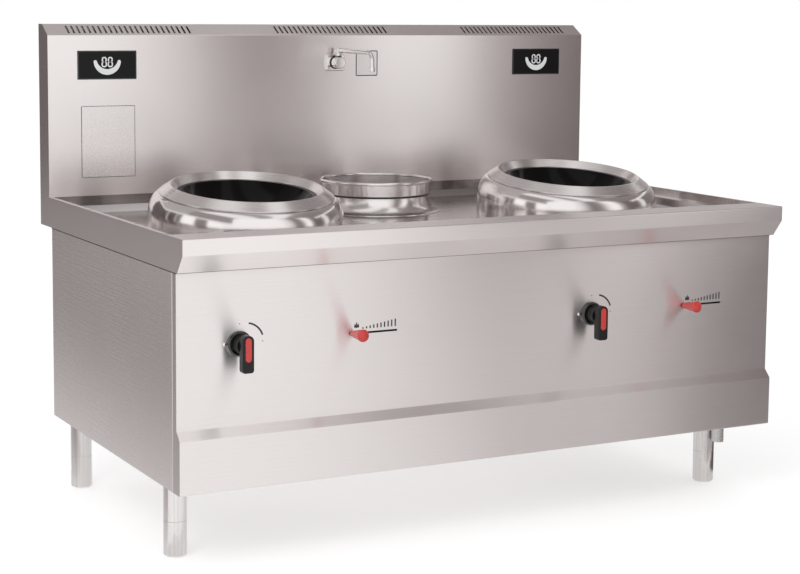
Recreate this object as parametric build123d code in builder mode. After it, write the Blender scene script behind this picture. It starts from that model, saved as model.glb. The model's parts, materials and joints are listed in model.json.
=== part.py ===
from build123d import *
import os
from math import asin, cos, degrees, radians, sin, sqrt, tan

# Double-well induction wok range in stainless sheet, standing on four round legs.
# Millimetres. +Z is up, +X is the cook's right, and the front faces -Y.
# The origin lies on the floor, under the middle of the whole outline.

os.makedirs("parts", exist_ok=True)

sides = (("left", -1), ("right", 1))

# ---------------------------------------------------------------- overall sizes
range_width = 1800  # across the rim and the splashback
range_depth = 1110  # from the rim's front face to the splashback's back
rim_top = 835  # height of the worktop's rim
splash_top = 1325  # height of the splashback
body_bottom = 208  # lower edge of the cabinet's panels
rear_overhang = 98  # the worktop reaches this far behind the cabinet
panel_setback = 50  # from the rim's front face back to the front panel
knob_reach = 68  # from the front panel to the end of a power knob

# ---------------------------------------------------------------- sheet and gaps
top_sheet = 2.0  # worktop, rim and base rings
panel_sheet = 1.5  # cabinet panels and splashback
seat_gap = 0.3  # between curved or moving pieces that seat on each other
run_gap = 0.05  # radial, shafts and sleeves in their bores
side_shadow = 2.0  # the cabinet stands in from the rim's sides by this much
panel_joint = 1.0  # open joint between the front panel's folds and the side panels
fold_radius = 3.0  # outside radius of the folds that show

# ---------------------------------------------------------------- rim and worktop tray
rim_face_height = 40  # upright part of the front rim
rim_slope_height = 45  # sloping part below it
rim_slope_inset = 35  # how far the slope runs back
front_ledge = 100  # flat band behind the rim's front face
side_lip = 10  # folded lip along the left and right of the tray
tray_wall = 26  # from the rim down to the tray's edge ledge
tray_ledge = 20  # width of that ledge
tray_slope = 19  # the 45 degree step from the ledge to the tray's floor

# ---------------------------------------------------------------- splashback
splash_depth = 83
chamfer_depth = 50  # along Y, at the splashback's upper front edge
chamfer_drop = 31  # along Z
vent_groups = 3
vents_per_group = 24
vent_group_inset = 250  # from the side to the middle of an outer group of vents
vent_pitch = 16
vent_width = 6
vent_length = 38

# ---------------------------------------------------------------- front panel
kick_proud = 21  # the lower section stands out by this much
kick_height = 133  # from the cabinet's lower edge to the bevel
bevel_rise = 22
panel_return = 25  # width of the panels' folds

# ---------------------------------------------------------------- wok wells
well_inset = 386  # from the rim's side to a well's centre
well_setback = 506  # from the rim's front face to the middle of a well's lip
lip_above_rim = 66  # from the worktop's rim up to the middle of a well's lip
well_tilt = 6.4  # degrees, towards the cook
ring_rise_width = 14.2  # from the seat ring's bore out to the lip
lip_width = 4
lip_round = 1.2
ring_slope_width = 28.5  # from the lip out to the seat ring's edge
ring_drop = 20  # from the lip down to that edge, along the well's axis
ring_edge = 3.5
ring_sheet = 3.0
ring_shelf = 9  # the ring's inner shelf under the glass
bowl_radius = 176  # inside edge of the black glass bowl
bowl_depth = 95
bowl_sink = 20.5  # from the lip down to the bowl's flange
bowl_glass = 6
bowl_flange = 13
bowl_flange_glass = 6.5
seal_thickness = 2.0
seal_width = 8
base_overhang = 28  # the bulging base ring's widest part lies this far outside the seat ring
base_shoulder = 4  # its round starts this far inside the seat ring's edge
base_seat_width = 11  # its flat seat under the seat ring
base_bulge_height = 58.5
well_cutout_inset = 11  # the hole in the tray is smaller than the seat ring, on the radius
coil_gap = 3
coil_thickness = 8
coil_bore = 25
coil_inset = 11  # the coil ends this far inside the glass bowl's edge
carrier_thickness = 6
carrier_inset = 4
carrier_wall_offset = 14  # the carrier's wall lies this far outside the bowl's edge
carrier_wall = 4
ferrite_bars = 8
ferrite_width = 16
ferrite_length = 110
ferrite_height = 12
ferrite_radius = 95
ferrite_sunk = 2

# ---------------------------------------------------------------- soup pot and its collar
pot_standoff = 281  # from the splashback to the pot's centre
pot_above_rim = 48  # from the worktop's rim up to the pot's
pot_depth = 243  # from the pot's rim to its bottom
pot_band_radius = 157.5
pot_band_height = 42  # from the shoulder to the top of the rolled rim
pot_body_radius = 143
pot_corner = 14
pot_sheet = 1.5
pot_bead = 4  # radius of the rolled rim
collar_neck_radius = 150
collar_flare = 36
collar_flange = 4
pot_cutout = 155

# ---------------------------------------------------------------- legs and feet
leg_inset = 70  # from the rim's side to a leg's centre
front_leg_setback = 236  # from the rim's front face
rear_leg_setback = 36  # from the cabinet's back
leg_radius = 30
leg_wall = 2
leg_seam = 92  # where the foot meets the leg
leg_plate = 70
leg_plate_thickness = 4
foot_sleeve = 80  # length of the foot's sleeve inside the leg
foot_base = 18  # solid height of the foot's end
foot_chamfer = 4

# ---------------------------------------------------------------- frame
tube = 40
tube_wall = 2
top_rail_width = 25
middle_rail_offset = 257  # from a well's centre line

# ---------------------------------------------------------------- isolator switches
control_drop = 183  # from the rim's lower edge to the line of the controls
isolator_offset = -222  # from a well's centre line
isolator_radius = 31.5
isolator_flange = 12
isolator_chamfer = 3
isolator_neck = 20
isolator_body = 60
isolator_body_depth = 70
shaft_radius = 5
shaft_length = 30
handle_hub_radius = 22
handle_hub_length = 27
handle_width = 30
handle_depth = 24
handle_above = 28  # from the turning axis to the handle's top
handle_below = 64
handle_top_corner = 14
handle_end_corner = 7
handle_edge = 3
insert_width = 17
insert_length = 60
insert_top = 23  # from the turning axis to the insert's upper end
insert_recess = 1.2
insert_thickness = 2
isolator_screw_offset = 37
screw_radius = 4.5
screw_height = 3
screw_round = 1.5

# ---------------------------------------------------------------- power levers
lever_offset = 88  # rest place of a power lever from a well's centre line
lever_travel = 120
lever_slot_height = 5
lever_slot_margin = 8
lever_stem_radius = 2.0
lever_tilt = 4  # degrees, the stem and knob point up by this much
knob_gap = 4  # between the front panel and the knob
knob_small_radius = 8
knob_large_radius = 16
knob_dome = 7  # height of the knob's rounded end
knob_round = 2.5
track_height = 26
track_depth = 18
track_wall = 2
track_end = 4
carriage_length = 22

# ---------------------------------------------------------------- splashback fittings
display_inset = 175  # from the side to a display's centre
display_drop = 116  # from the splashback's top
display_width = 176
display_tall = 82
display_glass = 4
display_lap = 4  # the window laps its cut-out on each side
display_board_depth = 16
label_inset = 177.5
label_above_rim = 52
label_under_display = 76
label_width = 161
label_thickness = 0.8
sticker_offset = 110.5  # from the tap's centre line
sticker_drop = 117
sticker_width = 75
sticker_tall = 78
sticker_corner = 2
sticker_thickness = 0.6

# ---------------------------------------------------------------- swing tap
tap_drop = 114  # from the splashback's top
tap_plate_width = 60
tap_plate_tall = 50
tap_plate_depth = 10
tap_plate_corner = 6
tap_axis_reach = 27  # from the splashback to the spout's turning axis
tap_valve_radius = 18
tap_valve_length = 44
tap_post_radius = 9
tap_post_rise = 29  # from the valve's axis to the post's top
tap_tail_radius = 10
tap_tail_length = 12
spout_rise = 37  # from the valve's axis to the spout's
spout_reach = 250  # from the splashback to the outlet
spout_radius = 7
spout_bore = 5
spout_bend = 28
spout_fall = 52  # from the spout's axis to its end
spout_collar_radius = 11
spout_collar_above = 8
spout_pin_radius = 6
spout_pin_length = 9
nozzle_radius = 9
nozzle_below = 4
nozzle_skirt = 10
supply_radius = 7.5
supply_bore = 6
supply_nipple_radius = 10.5
supply_nipple_length = 16
supply_standoff = 40
supply_bend = 22
supply_tail = 28  # the pipe ends this far under the rear channel

# ---------------------------------------------------------------- drain
drain_inset = 100  # from the rim's side
drain_standoff = 89  # from the splashback
drain_bore = 14
drain_pipe_wall = 1.5
drain_spigot_radius = 17
drain_spigot_length = 66
drain_flange = 27
drain_cup_depth = 12
drain_cup_wall = 1.2
drain_holes = 6
drain_hole_radius = 2.5
drain_hole_circle = 8
drain_drop = 138  # from under the tray to the pipe's long run
drain_bend = 45
drain_exit_inset = 62
drain_exit_setback = 182
drain_exit_height = 129

# ---------------------------------------------------------------- power modules, fans and inlet
module_width = 380
module_depth = 280
module_height = 110
module_standoff = 312  # from the cabinet's back to the modules' middle
fin_count = 14
fin_height = 35
fin_thickness = 4
intake_slots = 9
intake_pitch = 30
intake_width = 8
intake_length = 200
fan_size = 150
fan_depth = 38
fan_bore = 70
fan_rise = 94  # from the floor panel to the fans' axes
fan_hub = 26
fan_hub_length = 24
fan_shaft = 4
fan_tip_gap = 2
fan_blades = 7
fan_blade_chord = 32
fan_blade_thickness = 2.5
fan_blade_pitch = 38
fan_end_gap = 2
spoke_width = 10
spoke_depth = 5
boss_radius = 18
grille_slots = 9
grille_pitch = 14
grille_slot_height = 7
box_width = 220
box_tall = 160
box_depth = 90
box_drop = 230  # from the rim's lower edge to the box's middle
gland_radius = 22
gland_neck = 18
gland_length = 24
gland_bore = 14

# ---------------------------------------------------------------- worked out places
front_overhang = knob_reach - panel_setback
rim_front = front_overhang - (range_depth + front_overhang) / 2
rim_back = rim_front + range_depth
half_width = range_width / 2
rim_slope_top = rim_top - rim_face_height
rim_bottom = rim_slope_top - rim_slope_height
panel_face = rim_front + panel_setback
kick_face = panel_face - kick_proud
bevel_bottom = body_bottom + kick_height
bevel_top = bevel_bottom + bevel_rise
panel_back = panel_face + panel_sheet
return_back = panel_face + panel_return
body_back = rim_back - rear_overhang
half_body = half_width - side_shadow
inner_half = half_body - panel_sheet
splash_face = rim_back - splash_depth
chamfer_bottom = splash_top - chamfer_drop
tray_front = rim_front + front_ledge
tray_half = half_width - side_lip
tray_depth = splash_face - tray_front
tray_mid_y = (splash_face + tray_front) / 2
ledge_top = rim_top - tray_wall
floor_top = ledge_top - tray_slope
floor_under = floor_top - top_sheet
well_x = half_width - well_inset
well_y = rim_front + well_setback
lip_height = rim_top + lip_above_rim
pot_y = splash_face - pot_standoff
pot_rim_height = rim_top + pot_above_rim
pot_bottom = pot_rim_height - pot_depth
tilt = radians(well_tilt)
ring_bore = bowl_radius + bowl_flange + seat_gap
lip_radius = ring_bore + ring_rise_width
ring_radius = lip_radius + lip_width + ring_slope_width
base_radius = ring_radius + base_overhang
well_cutout = ring_radius - well_cutout_inset
base_y = well_y + (lip_height - floor_top) * tan(tilt)
leg_x = half_width - leg_inset
leg_rows = (("front", rim_front + front_leg_setback), ("rear", body_back - rear_leg_setback))
leg_ys = [y for row, y in leg_rows]
frame_bottom = body_bottom + panel_sheet
base_rail_z = frame_bottom + tube / 2
floor_panel_bottom = frame_bottom + tube
floor_panel_top = floor_panel_bottom + panel_sheet
post_x = inner_half - tube / 2
front_post_y = panel_back + tube / 2
rear_post_y = body_back - panel_sheet - tube / 2
rail_top = ledge_top - top_sheet
post_top = rail_top - tube
middle_rail_x = well_x - middle_rail_offset
control_height = rim_bottom - control_drop
well_xs = [sign * well_x for side, sign in sides]
lever_xs = [x + lever_offset for x in well_xs]
isolator_xs = [x + isolator_offset for x in well_xs]
slot_length = lever_travel + 2 * lever_slot_margin
tap_height = splash_top - tap_drop
drain_x = half_width - drain_inset
drain_y = splash_face - drain_standoff
drain_exit_x = half_width - drain_exit_inset
drain_exit_y = rim_front + drain_exit_setback
fan_height = floor_panel_top + fan_rise
box_height = rim_bottom - box_drop


def front_plane(y):
    """A sketch plane that faces the cook: its X is +X and its Y is +Z."""
    return Plane(origin=(0, y, 0), x_dir=(1, 0, 0), z_dir=(0, -1, 0))


def well_profile_plane(x):
    """A plane through a well's tilted axis: its X is the radius, its Y runs up the axis."""
    return Plane(origin=(x, well_y, lip_height), x_dir=(1, 0, 0), z_dir=(0, -cos(tilt), -sin(tilt)))


def well_axis(x):
    """The tilted axis of a well, through the middle of its lip."""
    return Axis((x, well_y, lip_height), (0, -sin(tilt), cos(tilt)))


def well_plane(x):
    """The plane of a well's lip, tilted towards the cook."""
    return Plane(origin=(x, well_y, lip_height), x_dir=(1, 0, 0), z_dir=(0, -sin(tilt), cos(tilt)))


def lever_plane(x):
    """The plane square to a lever's stem at the panel's face: its Z runs out along the stem."""
    up = radians(lever_tilt)
    return Plane(origin=(x, panel_face, control_height), x_dir=(1, 0, 0), z_dir=(0, -cos(up), sin(up)))


def rail_along_x(length, width, height):
    """A rectangular tube along X, hollow from end to end."""
    Box(length, width, height)
    Box(length, width - 2 * tube_wall, height - 2 * tube_wall, mode=Mode.SUBTRACT)


def rail_along_y(length, width, height):
    """A rectangular tube along Y, hollow from end to end."""
    Box(width, length, height)
    Box(width - 2 * tube_wall, length, height - 2 * tube_wall, mode=Mode.SUBTRACT)


def folded_sheet(path, thickness):
    """The outline of a folded sheet whose outer face follows a path, with its thickness on the left."""
    return offset(path, amount=thickness, side=Side.LEFT, kind=Kind.INTERSECTION).edges()


# ================================================================ frame of square tube
with BuildPart() as frame_posts:
    with BuildSketch(Plane.XY.offset(frame_bottom)):
        for y in (front_post_y, rear_post_y):
            with Locations((-post_x, y), (post_x, y)):
                Rectangle(tube, tube)
                Rectangle(tube - 2 * tube_wall, tube - 2 * tube_wall, mode=Mode.SUBTRACT)
    extrude(amount=post_top - frame_bottom)
frame_posts.part.label = "frame_posts"
export_step(frame_posts.part, "parts/frame_posts.step")

rail_half = post_x - tube / 2
top_rail_x = inner_half - top_rail_width / 2
top_rail_z = rail_top - tube / 2
middle_z = floor_under - tube / 2
front_rail_y = tray_front + tray_ledge - top_rail_width / 2
with BuildPart() as frame_cross_rails:
    with Locations(*[(0, y, base_rail_z) for y in (front_post_y, leg_ys[0], rear_post_y)]):
        rail_along_x(2 * rail_half, tube, tube)
    with Locations((0, front_rail_y, top_rail_z)):
        rail_along_x(2 * top_rail_x - top_rail_width, top_rail_width, tube)
    with Locations((0, rear_post_y, middle_z)):
        rail_along_x(2 * rail_half, tube, tube)
frame_cross_rails.part.label = "frame_cross_rails"
export_step(frame_cross_rails.part, "parts/frame_cross_rails.step")

base_rail_length = rear_post_y - front_post_y - tube
frame_y = (rear_post_y + front_post_y) / 2
middle_front = front_rail_y + top_rail_width / 2
middle_back = rear_post_y - tube / 2
middle_y = (middle_front + middle_back) / 2
with BuildPart() as frame_side_rails:
    with Locations((-post_x, frame_y, base_rail_z), (post_x, frame_y, base_rail_z)):
        rail_along_y(base_rail_length, tube, tube)
    with Locations((-top_rail_x, frame_y, top_rail_z), (top_rail_x, frame_y, top_rail_z)):
        rail_along_y(base_rail_length + 2 * tube, top_rail_width, tube)
    with Locations((-middle_rail_x, middle_y, middle_z), (middle_rail_x, middle_y, middle_z)):
        rail_along_y(middle_back - middle_front, tube, tube)
frame_side_rails.part.label = "frame_side_rails"
export_step(frame_side_rails.part, "parts/frame_side_rails.step")

# ================================================================ legs and adjustable feet
leg_inner = leg_radius - leg_wall
leg_places = [(sign * leg_x, y) for y in leg_ys for side, sign in sides]
plate_bottom = frame_bottom - leg_plate_thickness
with BuildPart() as legs:
    with BuildSketch(Plane.XY.offset(leg_seam)):
        with Locations(*leg_places):
            Circle(leg_radius)
            Circle(leg_inner, mode=Mode.SUBTRACT)
    extrude(amount=plate_bottom - leg_seam)
    with BuildSketch(Plane.XY.offset(plate_bottom)):
        with Locations(*leg_places):
            Rectangle(leg_plate, leg_plate)
    extrude(amount=leg_plate_thickness)
legs.part.label = "legs"
export_step(legs.part, "parts/legs.step")

for row, y in leg_rows:
    for side, sign in sides:
        with BuildPart() as foot:
            with BuildSketch(Plane.XY):
                with Locations((sign * leg_x, y)):
                    Circle(leg_radius)
            extrude(amount=leg_seam)
            chamfer(foot.edges().group_by(Axis.Z)[0], foot_chamfer)
            with BuildSketch(Plane.XY.offset(leg_seam)):
                with Locations((sign * leg_x, y)):
                    Circle(leg_inner - run_gap)
            extrude(amount=foot_sleeve)
            with BuildSketch(Plane.XY.offset(foot_base)):
                with Locations((sign * leg_x, y)):
                    Circle(leg_inner - 2 * leg_wall)
            extrude(amount=leg_seam + foot_sleeve, mode=Mode.SUBTRACT)
        foot.part.label = f"foot_{row}_{side}"
        export_step(foot.part, f"parts/foot_{row}_{side}.step")

# ================================================================ cabinet panels
front_section = (
    (panel_face, rim_bottom),
    (panel_face, bevel_top),
    (kick_face, bevel_bottom),
    (kick_face, body_bottom),
    (return_back, body_bottom),
)
front_fold = FilletPolyline(*front_section, radius=fold_radius)
front_outline = folded_sheet(front_fold, panel_sheet)
with BuildPart() as front_panel:
    with BuildSketch(Plane.YZ.offset(-half_body)):
        make_face(front_outline)
    extrude(amount=2 * half_body)
    for side, sign in sides:
        with BuildSketch(Plane.YZ.offset(sign * half_body)):
            with BuildLine():
                FilletPolyline(*front_section, radius=fold_radius)
                Polyline(front_section[-1], (return_back, rim_bottom), front_section[0])
            make_face()
        extrude(amount=-sign * panel_sheet)
    with BuildSketch(front_plane(panel_face)):
        with Locations(*[(x + lever_travel / 2, control_height) for x in lever_xs]):
            SlotOverall(slot_length, lever_slot_height)
        with Locations(*[(x, control_height) for x in isolator_xs]):
            Circle(isolator_neck + seat_gap)
    extrude(amount=-2 * panel_sheet, mode=Mode.SUBTRACT)
front_panel.part.label = "front_panel"
export_step(front_panel.part, "parts/front_panel.step")

side_front = return_back + panel_joint
for side, sign in sides:
    outer = sign * half_body
    inner = sign * inner_half
    fold = sign * (half_body - panel_return)
    with BuildPart() as side_panel:
        with BuildSketch(front_plane(side_front)):
            with BuildLine():
                Polyline(
                    (outer, rim_bottom),
                    (outer, body_bottom),
                    (fold, body_bottom),
                    (fold, frame_bottom),
                    (inner, frame_bottom),
                    (inner, rim_bottom),
                    close=True,
                )
            make_face()
        extrude(amount=-(body_back - side_front))
    side_panel.part.label = f"side_panel_{side}"
    export_step(side_panel.part, f"parts/side_panel_{side}.step")

with BuildPart() as back_panel:
    with BuildSketch(front_plane(body_back - panel_sheet)):
        with Locations((0, (rim_bottom + frame_bottom) / 2)):
            Rectangle(2 * inner_half, rim_bottom - frame_bottom)
        for x in well_xs:
            for row in range(grille_slots):
                rise = (row - (grille_slots - 1) / 2) * grille_pitch
                with Locations((x, fan_height + rise)):
                    chord = 2 * sqrt(fan_bore**2 - rise**2)
                    Rectangle(chord - grille_pitch, grille_slot_height, mode=Mode.SUBTRACT)
        with Locations((0, box_height)):
            Circle(gland_neck + seat_gap, mode=Mode.SUBTRACT)
    extrude(amount=-panel_sheet)
back_panel.part.label = "back_panel"
export_step(back_panel.part, "parts/back_panel.step")

module_y = body_back - module_standoff
drain_pipe_radius = drain_bore + drain_pipe_wall
floor_front = panel_back
floor_back = body_back - panel_sheet
with BuildPart() as floor_panel:
    with BuildSketch(Plane.XY.offset(floor_panel_bottom)):
        with Locations((0, (floor_front + floor_back) / 2)):
            Rectangle(2 * inner_half, floor_back - floor_front)
        with Locations(*[(sx * post_x, y) for sx in (-1, 1) for y in (front_post_y, rear_post_y)]):
            Rectangle(tube, tube, mode=Mode.SUBTRACT)
        for x in well_xs:
            with Locations((x, module_y - module_depth / 2 - intake_length / 2 - tube)):
                with GridLocations(intake_pitch, 0, intake_slots, 1):
                    Rectangle(intake_width, intake_length, mode=Mode.SUBTRACT)
        with Locations((drain_exit_x, drain_exit_y)):
            Circle(drain_pipe_radius + seat_gap, mode=Mode.SUBTRACT)
    extrude(amount=panel_sheet)
floor_panel.part.label = "floor_panel"
export_step(floor_panel.part, "parts/floor_panel.step")

# ================================================================ rim round the worktop
rim_fold = (
    (tray_front, rim_top),
    (rim_front, rim_top),
    (rim_front, rim_slope_top),
    (rim_front + rim_slope_inset, rim_bottom),
    (panel_face, rim_bottom),
)
rim_outline = folded_sheet(FilletPolyline(*rim_fold, radius=fold_radius), top_sheet)
with BuildPart() as front_rim:
    with BuildSketch(Plane.YZ.offset(-half_width + top_sheet)):
        make_face(rim_outline)
    extrude(amount=2 * (half_width - top_sheet))
front_rim.part.label = "front_rim"
export_step(front_rim.part, "parts/front_rim.step")

for side, sign in sides:
    with BuildPart() as side_rim:
        with BuildSketch(Plane.YZ.offset(sign * half_width)):
            with BuildLine():
                FilletPolyline(
                    (rim_back, rim_top),
                    (rim_front, rim_top),
                    (rim_front, rim_slope_top),
                    (rim_front + rim_slope_inset, rim_bottom),
                    (rim_back, rim_bottom),
                    radius=fold_radius,
                )
                Line((rim_back, rim_bottom), (rim_back, rim_top))
            make_face()
        extrude(amount=-sign * top_sheet)
    side_rim.part.label = f"side_rim_{side}"
    export_step(side_rim.part, f"parts/side_rim_{side}.step")

supply_y = splash_face + supply_standoff
channel_fold = ((body_back, rim_bottom), (rim_back, rim_bottom), (rim_back, rim_top))
channel_outline = folded_sheet(Polyline(*channel_fold), panel_sheet)
with BuildPart() as rear_channel:
    with BuildSketch(Plane.YZ.offset(-half_width + top_sheet)):
        make_face(channel_outline)
    extrude(amount=2 * (half_width - top_sheet))
    with BuildSketch(Plane.XY.offset(rim_bottom)):
        with Locations((0, supply_y)):
            Circle(supply_radius + seat_gap)
    extrude(amount=panel_sheet, mode=Mode.SUBTRACT)
rear_channel.part.label = "rear_channel"
export_step(rear_channel.part, "parts/rear_channel.step")

# ================================================================ sunk worktop tray
wall_half = tray_half - top_sheet
wall_depth = tray_depth - 2 * top_sheet
lip_half = half_width - top_sheet
ledge_width = 2 * (wall_half - tray_ledge)
ledge_depth = wall_depth - 2 * tray_ledge
floor_width = ledge_width - 2 * tray_slope
floor_depth = ledge_depth - 2 * tray_slope
with BuildPart() as worktop_tray:
    with BuildSketch(Plane.XY.offset(rail_top)):
        with Locations((0, tray_mid_y)):
            Rectangle(2 * tray_half, tray_depth)
    extrude(amount=rim_top - rail_top)
    with BuildSketch(Plane.XY.offset(rim_top - top_sheet)):
        with Locations((0, tray_mid_y)):
            Rectangle(2 * lip_half, tray_depth)
    extrude(amount=top_sheet)
    for upper, step_mode in ((rail_top, Mode.ADD), (ledge_top, Mode.SUBTRACT)):
        with BuildSketch(Plane.XY.offset(upper)):
            with Locations((0, tray_mid_y)):
                Rectangle(ledge_width, ledge_depth)
        with BuildSketch(Plane.XY.offset(upper - tray_slope)):
            with Locations((0, tray_mid_y)):
                Rectangle(floor_width, floor_depth)
        loft(ruled=True, mode=step_mode)
    with BuildSketch(Plane.XY.offset(ledge_top)):
        with Locations((0, tray_mid_y)):
            Rectangle(2 * wall_half, wall_depth)
    extrude(amount=tray_wall, mode=Mode.SUBTRACT)
    with BuildSketch(Plane.XY.offset(floor_under)):
        with Locations(*[(x, base_y) for x in well_xs]):
            Circle(well_cutout)
        with Locations((0, pot_y)):
            Circle(pot_cutout)
        with Locations((drain_x, drain_y)):
            Circle(drain_bore)
    extrude(amount=top_sheet, mode=Mode.SUBTRACT)
worktop_tray.part.label = "worktop_tray"
export_step(worktop_tray.part, "parts/worktop_tray.step")

# ================================================================ splashback box
display_x = half_width - display_inset
display_height = splash_top - display_drop
chamfer_plane = Plane(
    origin=(0, splash_face + chamfer_depth / 2, chamfer_bottom + chamfer_drop / 2),
    x_dir=(1, 0, 0),
    z_dir=(0, -chamfer_drop, chamfer_depth),
)
with BuildPart() as splashback:
    with BuildSketch(Plane.YZ.offset(-half_width)):
        with BuildLine():
            FilletPolyline(
                (splash_face, rim_top),
                (splash_face, chamfer_bottom),
                (splash_face + chamfer_depth, splash_top),
                (rim_back, splash_top),
                radius=fold_radius,
            )
            Polyline((rim_back, splash_top), (rim_back, rim_top), (splash_face, rim_top))
        make_face()
    extrude(amount=range_width)
    with BuildSketch(Plane.YZ.offset(-half_width + panel_sheet)):
        with BuildLine():
            FilletPolyline(
                (splash_face + panel_sheet, rim_top),
                (splash_face + panel_sheet, chamfer_bottom - panel_sheet / 2),
                (splash_face + chamfer_depth + panel_sheet / 2, splash_top - panel_sheet),
                (rim_back, splash_top - panel_sheet),
                radius=fold_radius - panel_sheet,
            )
            Polyline(
                (rim_back, splash_top - panel_sheet),
                (rim_back, rim_top),
                (splash_face + panel_sheet, rim_top),
            )
        make_face()
    extrude(amount=range_width - 2 * panel_sheet, mode=Mode.SUBTRACT)
    with BuildSketch(chamfer_plane):
        with GridLocations(half_width - vent_group_inset, 0, vent_groups, 1):
            with GridLocations(vent_pitch, 0, vents_per_group, 1):
                Rectangle(vent_width, vent_length)
    extrude(amount=-2 * panel_sheet, mode=Mode.SUBTRACT)
    with BuildSketch(front_plane(splash_face)):
        with Locations((-display_x, display_height), (display_x, display_height)):
            Rectangle(display_width - 2 * display_lap, display_tall - 2 * display_lap)
        with Locations((0, tap_height)):
            Circle(tap_tail_radius)
    extrude(amount=-panel_sheet, mode=Mode.SUBTRACT)
splashback.part.label = "splashback"
export_step(splashback.part, "parts/splashback.step")

cover_top = splash_top - panel_sheet
with BuildPart() as splashback_cover:
    with BuildSketch(front_plane(rim_back - panel_sheet)):
        with Locations((0, (rim_top + cover_top) / 2)):
            Rectangle(range_width - 2 * panel_sheet, cover_top - rim_top)
    extrude(amount=-panel_sheet)
splashback_cover.part.label = "splashback_cover"
export_step(splashback_cover.part, "parts/splashback_cover.step")

# ================================================================ displays and blank plates
for side, sign in sides:
    with BuildPart() as display_window:
        with BuildSketch(front_plane(splash_face)):
            with Locations((sign * display_x, display_height)):
                Rectangle(display_width, display_tall)
        extrude(amount=display_glass / 2)
        with BuildSketch(front_plane(splash_face)):
            with Locations((sign * display_x, display_height)):
                Rectangle(display_width - 2 * display_lap, display_tall - 2 * display_lap)
        extrude(amount=-display_glass / 2)
    display_window.part.label = f"display_window_{side}"
    export_step(display_window.part, f"parts/display_window_{side}.step")

with BuildPart() as display_boards:
    with BuildSketch(front_plane(splash_face + display_glass / 2)):
        with Locations((-display_x, display_height), (display_x, display_height)):
            Rectangle(display_width - 4 * display_lap, display_tall - 4 * display_lap)
    extrude(amount=-display_board_depth)
display_boards.part.label = "display_boards"
export_step(display_boards.part, "parts/display_boards.step")

label_bottom = rim_top + label_above_rim
label_top = display_height - display_tall / 2 - label_under_display
with BuildPart() as label_plate:
    with BuildSketch(front_plane(splash_face)):
        with Locations((label_inset - half_width, (label_bottom + label_top) / 2)):
            Rectangle(label_width, label_top - label_bottom)
    extrude(amount=label_thickness)
label_plate.part.label = "label_plate"
export_step(label_plate.part, "parts/label_plate.step")

with BuildPart() as sticker_plate:
    with BuildSketch(front_plane(splash_face)):
        with Locations((sticker_offset, splash_top - sticker_drop)):
            RectangleRounded(sticker_width, sticker_tall, sticker_corner)
    extrude(amount=sticker_thickness)
sticker_plate.part.label = "sticker_plate"
export_step(sticker_plate.part, "parts/sticker_plate.step")

# ================================================================ tilted wok wells
# Every piece of a well is turned about the same tilted axis.
# Radii are measured from that axis, and heights along it from the lip, so they are negative.
base_seat = -(ring_drop + ring_edge)
base_bulge_width = base_shoulder + base_overhang
bulge_radius = base_radius - base_bulge_width
bulge_height = base_seat - base_bulge_height
base_reach = -(lip_height - floor_top) / cos(tilt) - base_radius * sin(tilt) * 1.5
shelf_top = -(bowl_sink + bowl_flange_glass + seal_thickness)
bowl_sphere = (bowl_radius**2 + bowl_depth**2) / (2 * bowl_depth)
sphere_height = bowl_sphere - bowl_sink - bowl_depth
glass_sphere = bowl_sphere + bowl_glass
coil_sphere = glass_sphere + coil_gap
carrier_sphere = coil_sphere + coil_thickness + seat_gap
carrier_outside = carrier_sphere + carrier_thickness
coil_reach = bowl_radius - coil_inset
carrier_reach = bowl_radius - carrier_inset
carrier_wall_outer = bowl_radius + carrier_wall_offset


def on_sphere(sphere, radius):
    """The point of a sphere about the bowl's centre at a radius from the axis, below that centre."""
    return (radius, sphere_height - sqrt(sphere**2 - radius**2))


def dish_section(inner_sphere, outer_sphere, bore, reach):
    """The outline of a dish between two spheres about the bowl's centre."""
    middle = (bore + reach) / 2
    inside = ThreePointArc(*[on_sphere(inner_sphere, r) for r in (bore, middle, reach)])
    outside = ThreePointArc(*[on_sphere(outer_sphere, r) for r in (reach, middle, bore)])
    return [inside, Line(inside @ 1, outside @ 0), outside, Line(outside @ 1, inside @ 0)]


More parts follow.
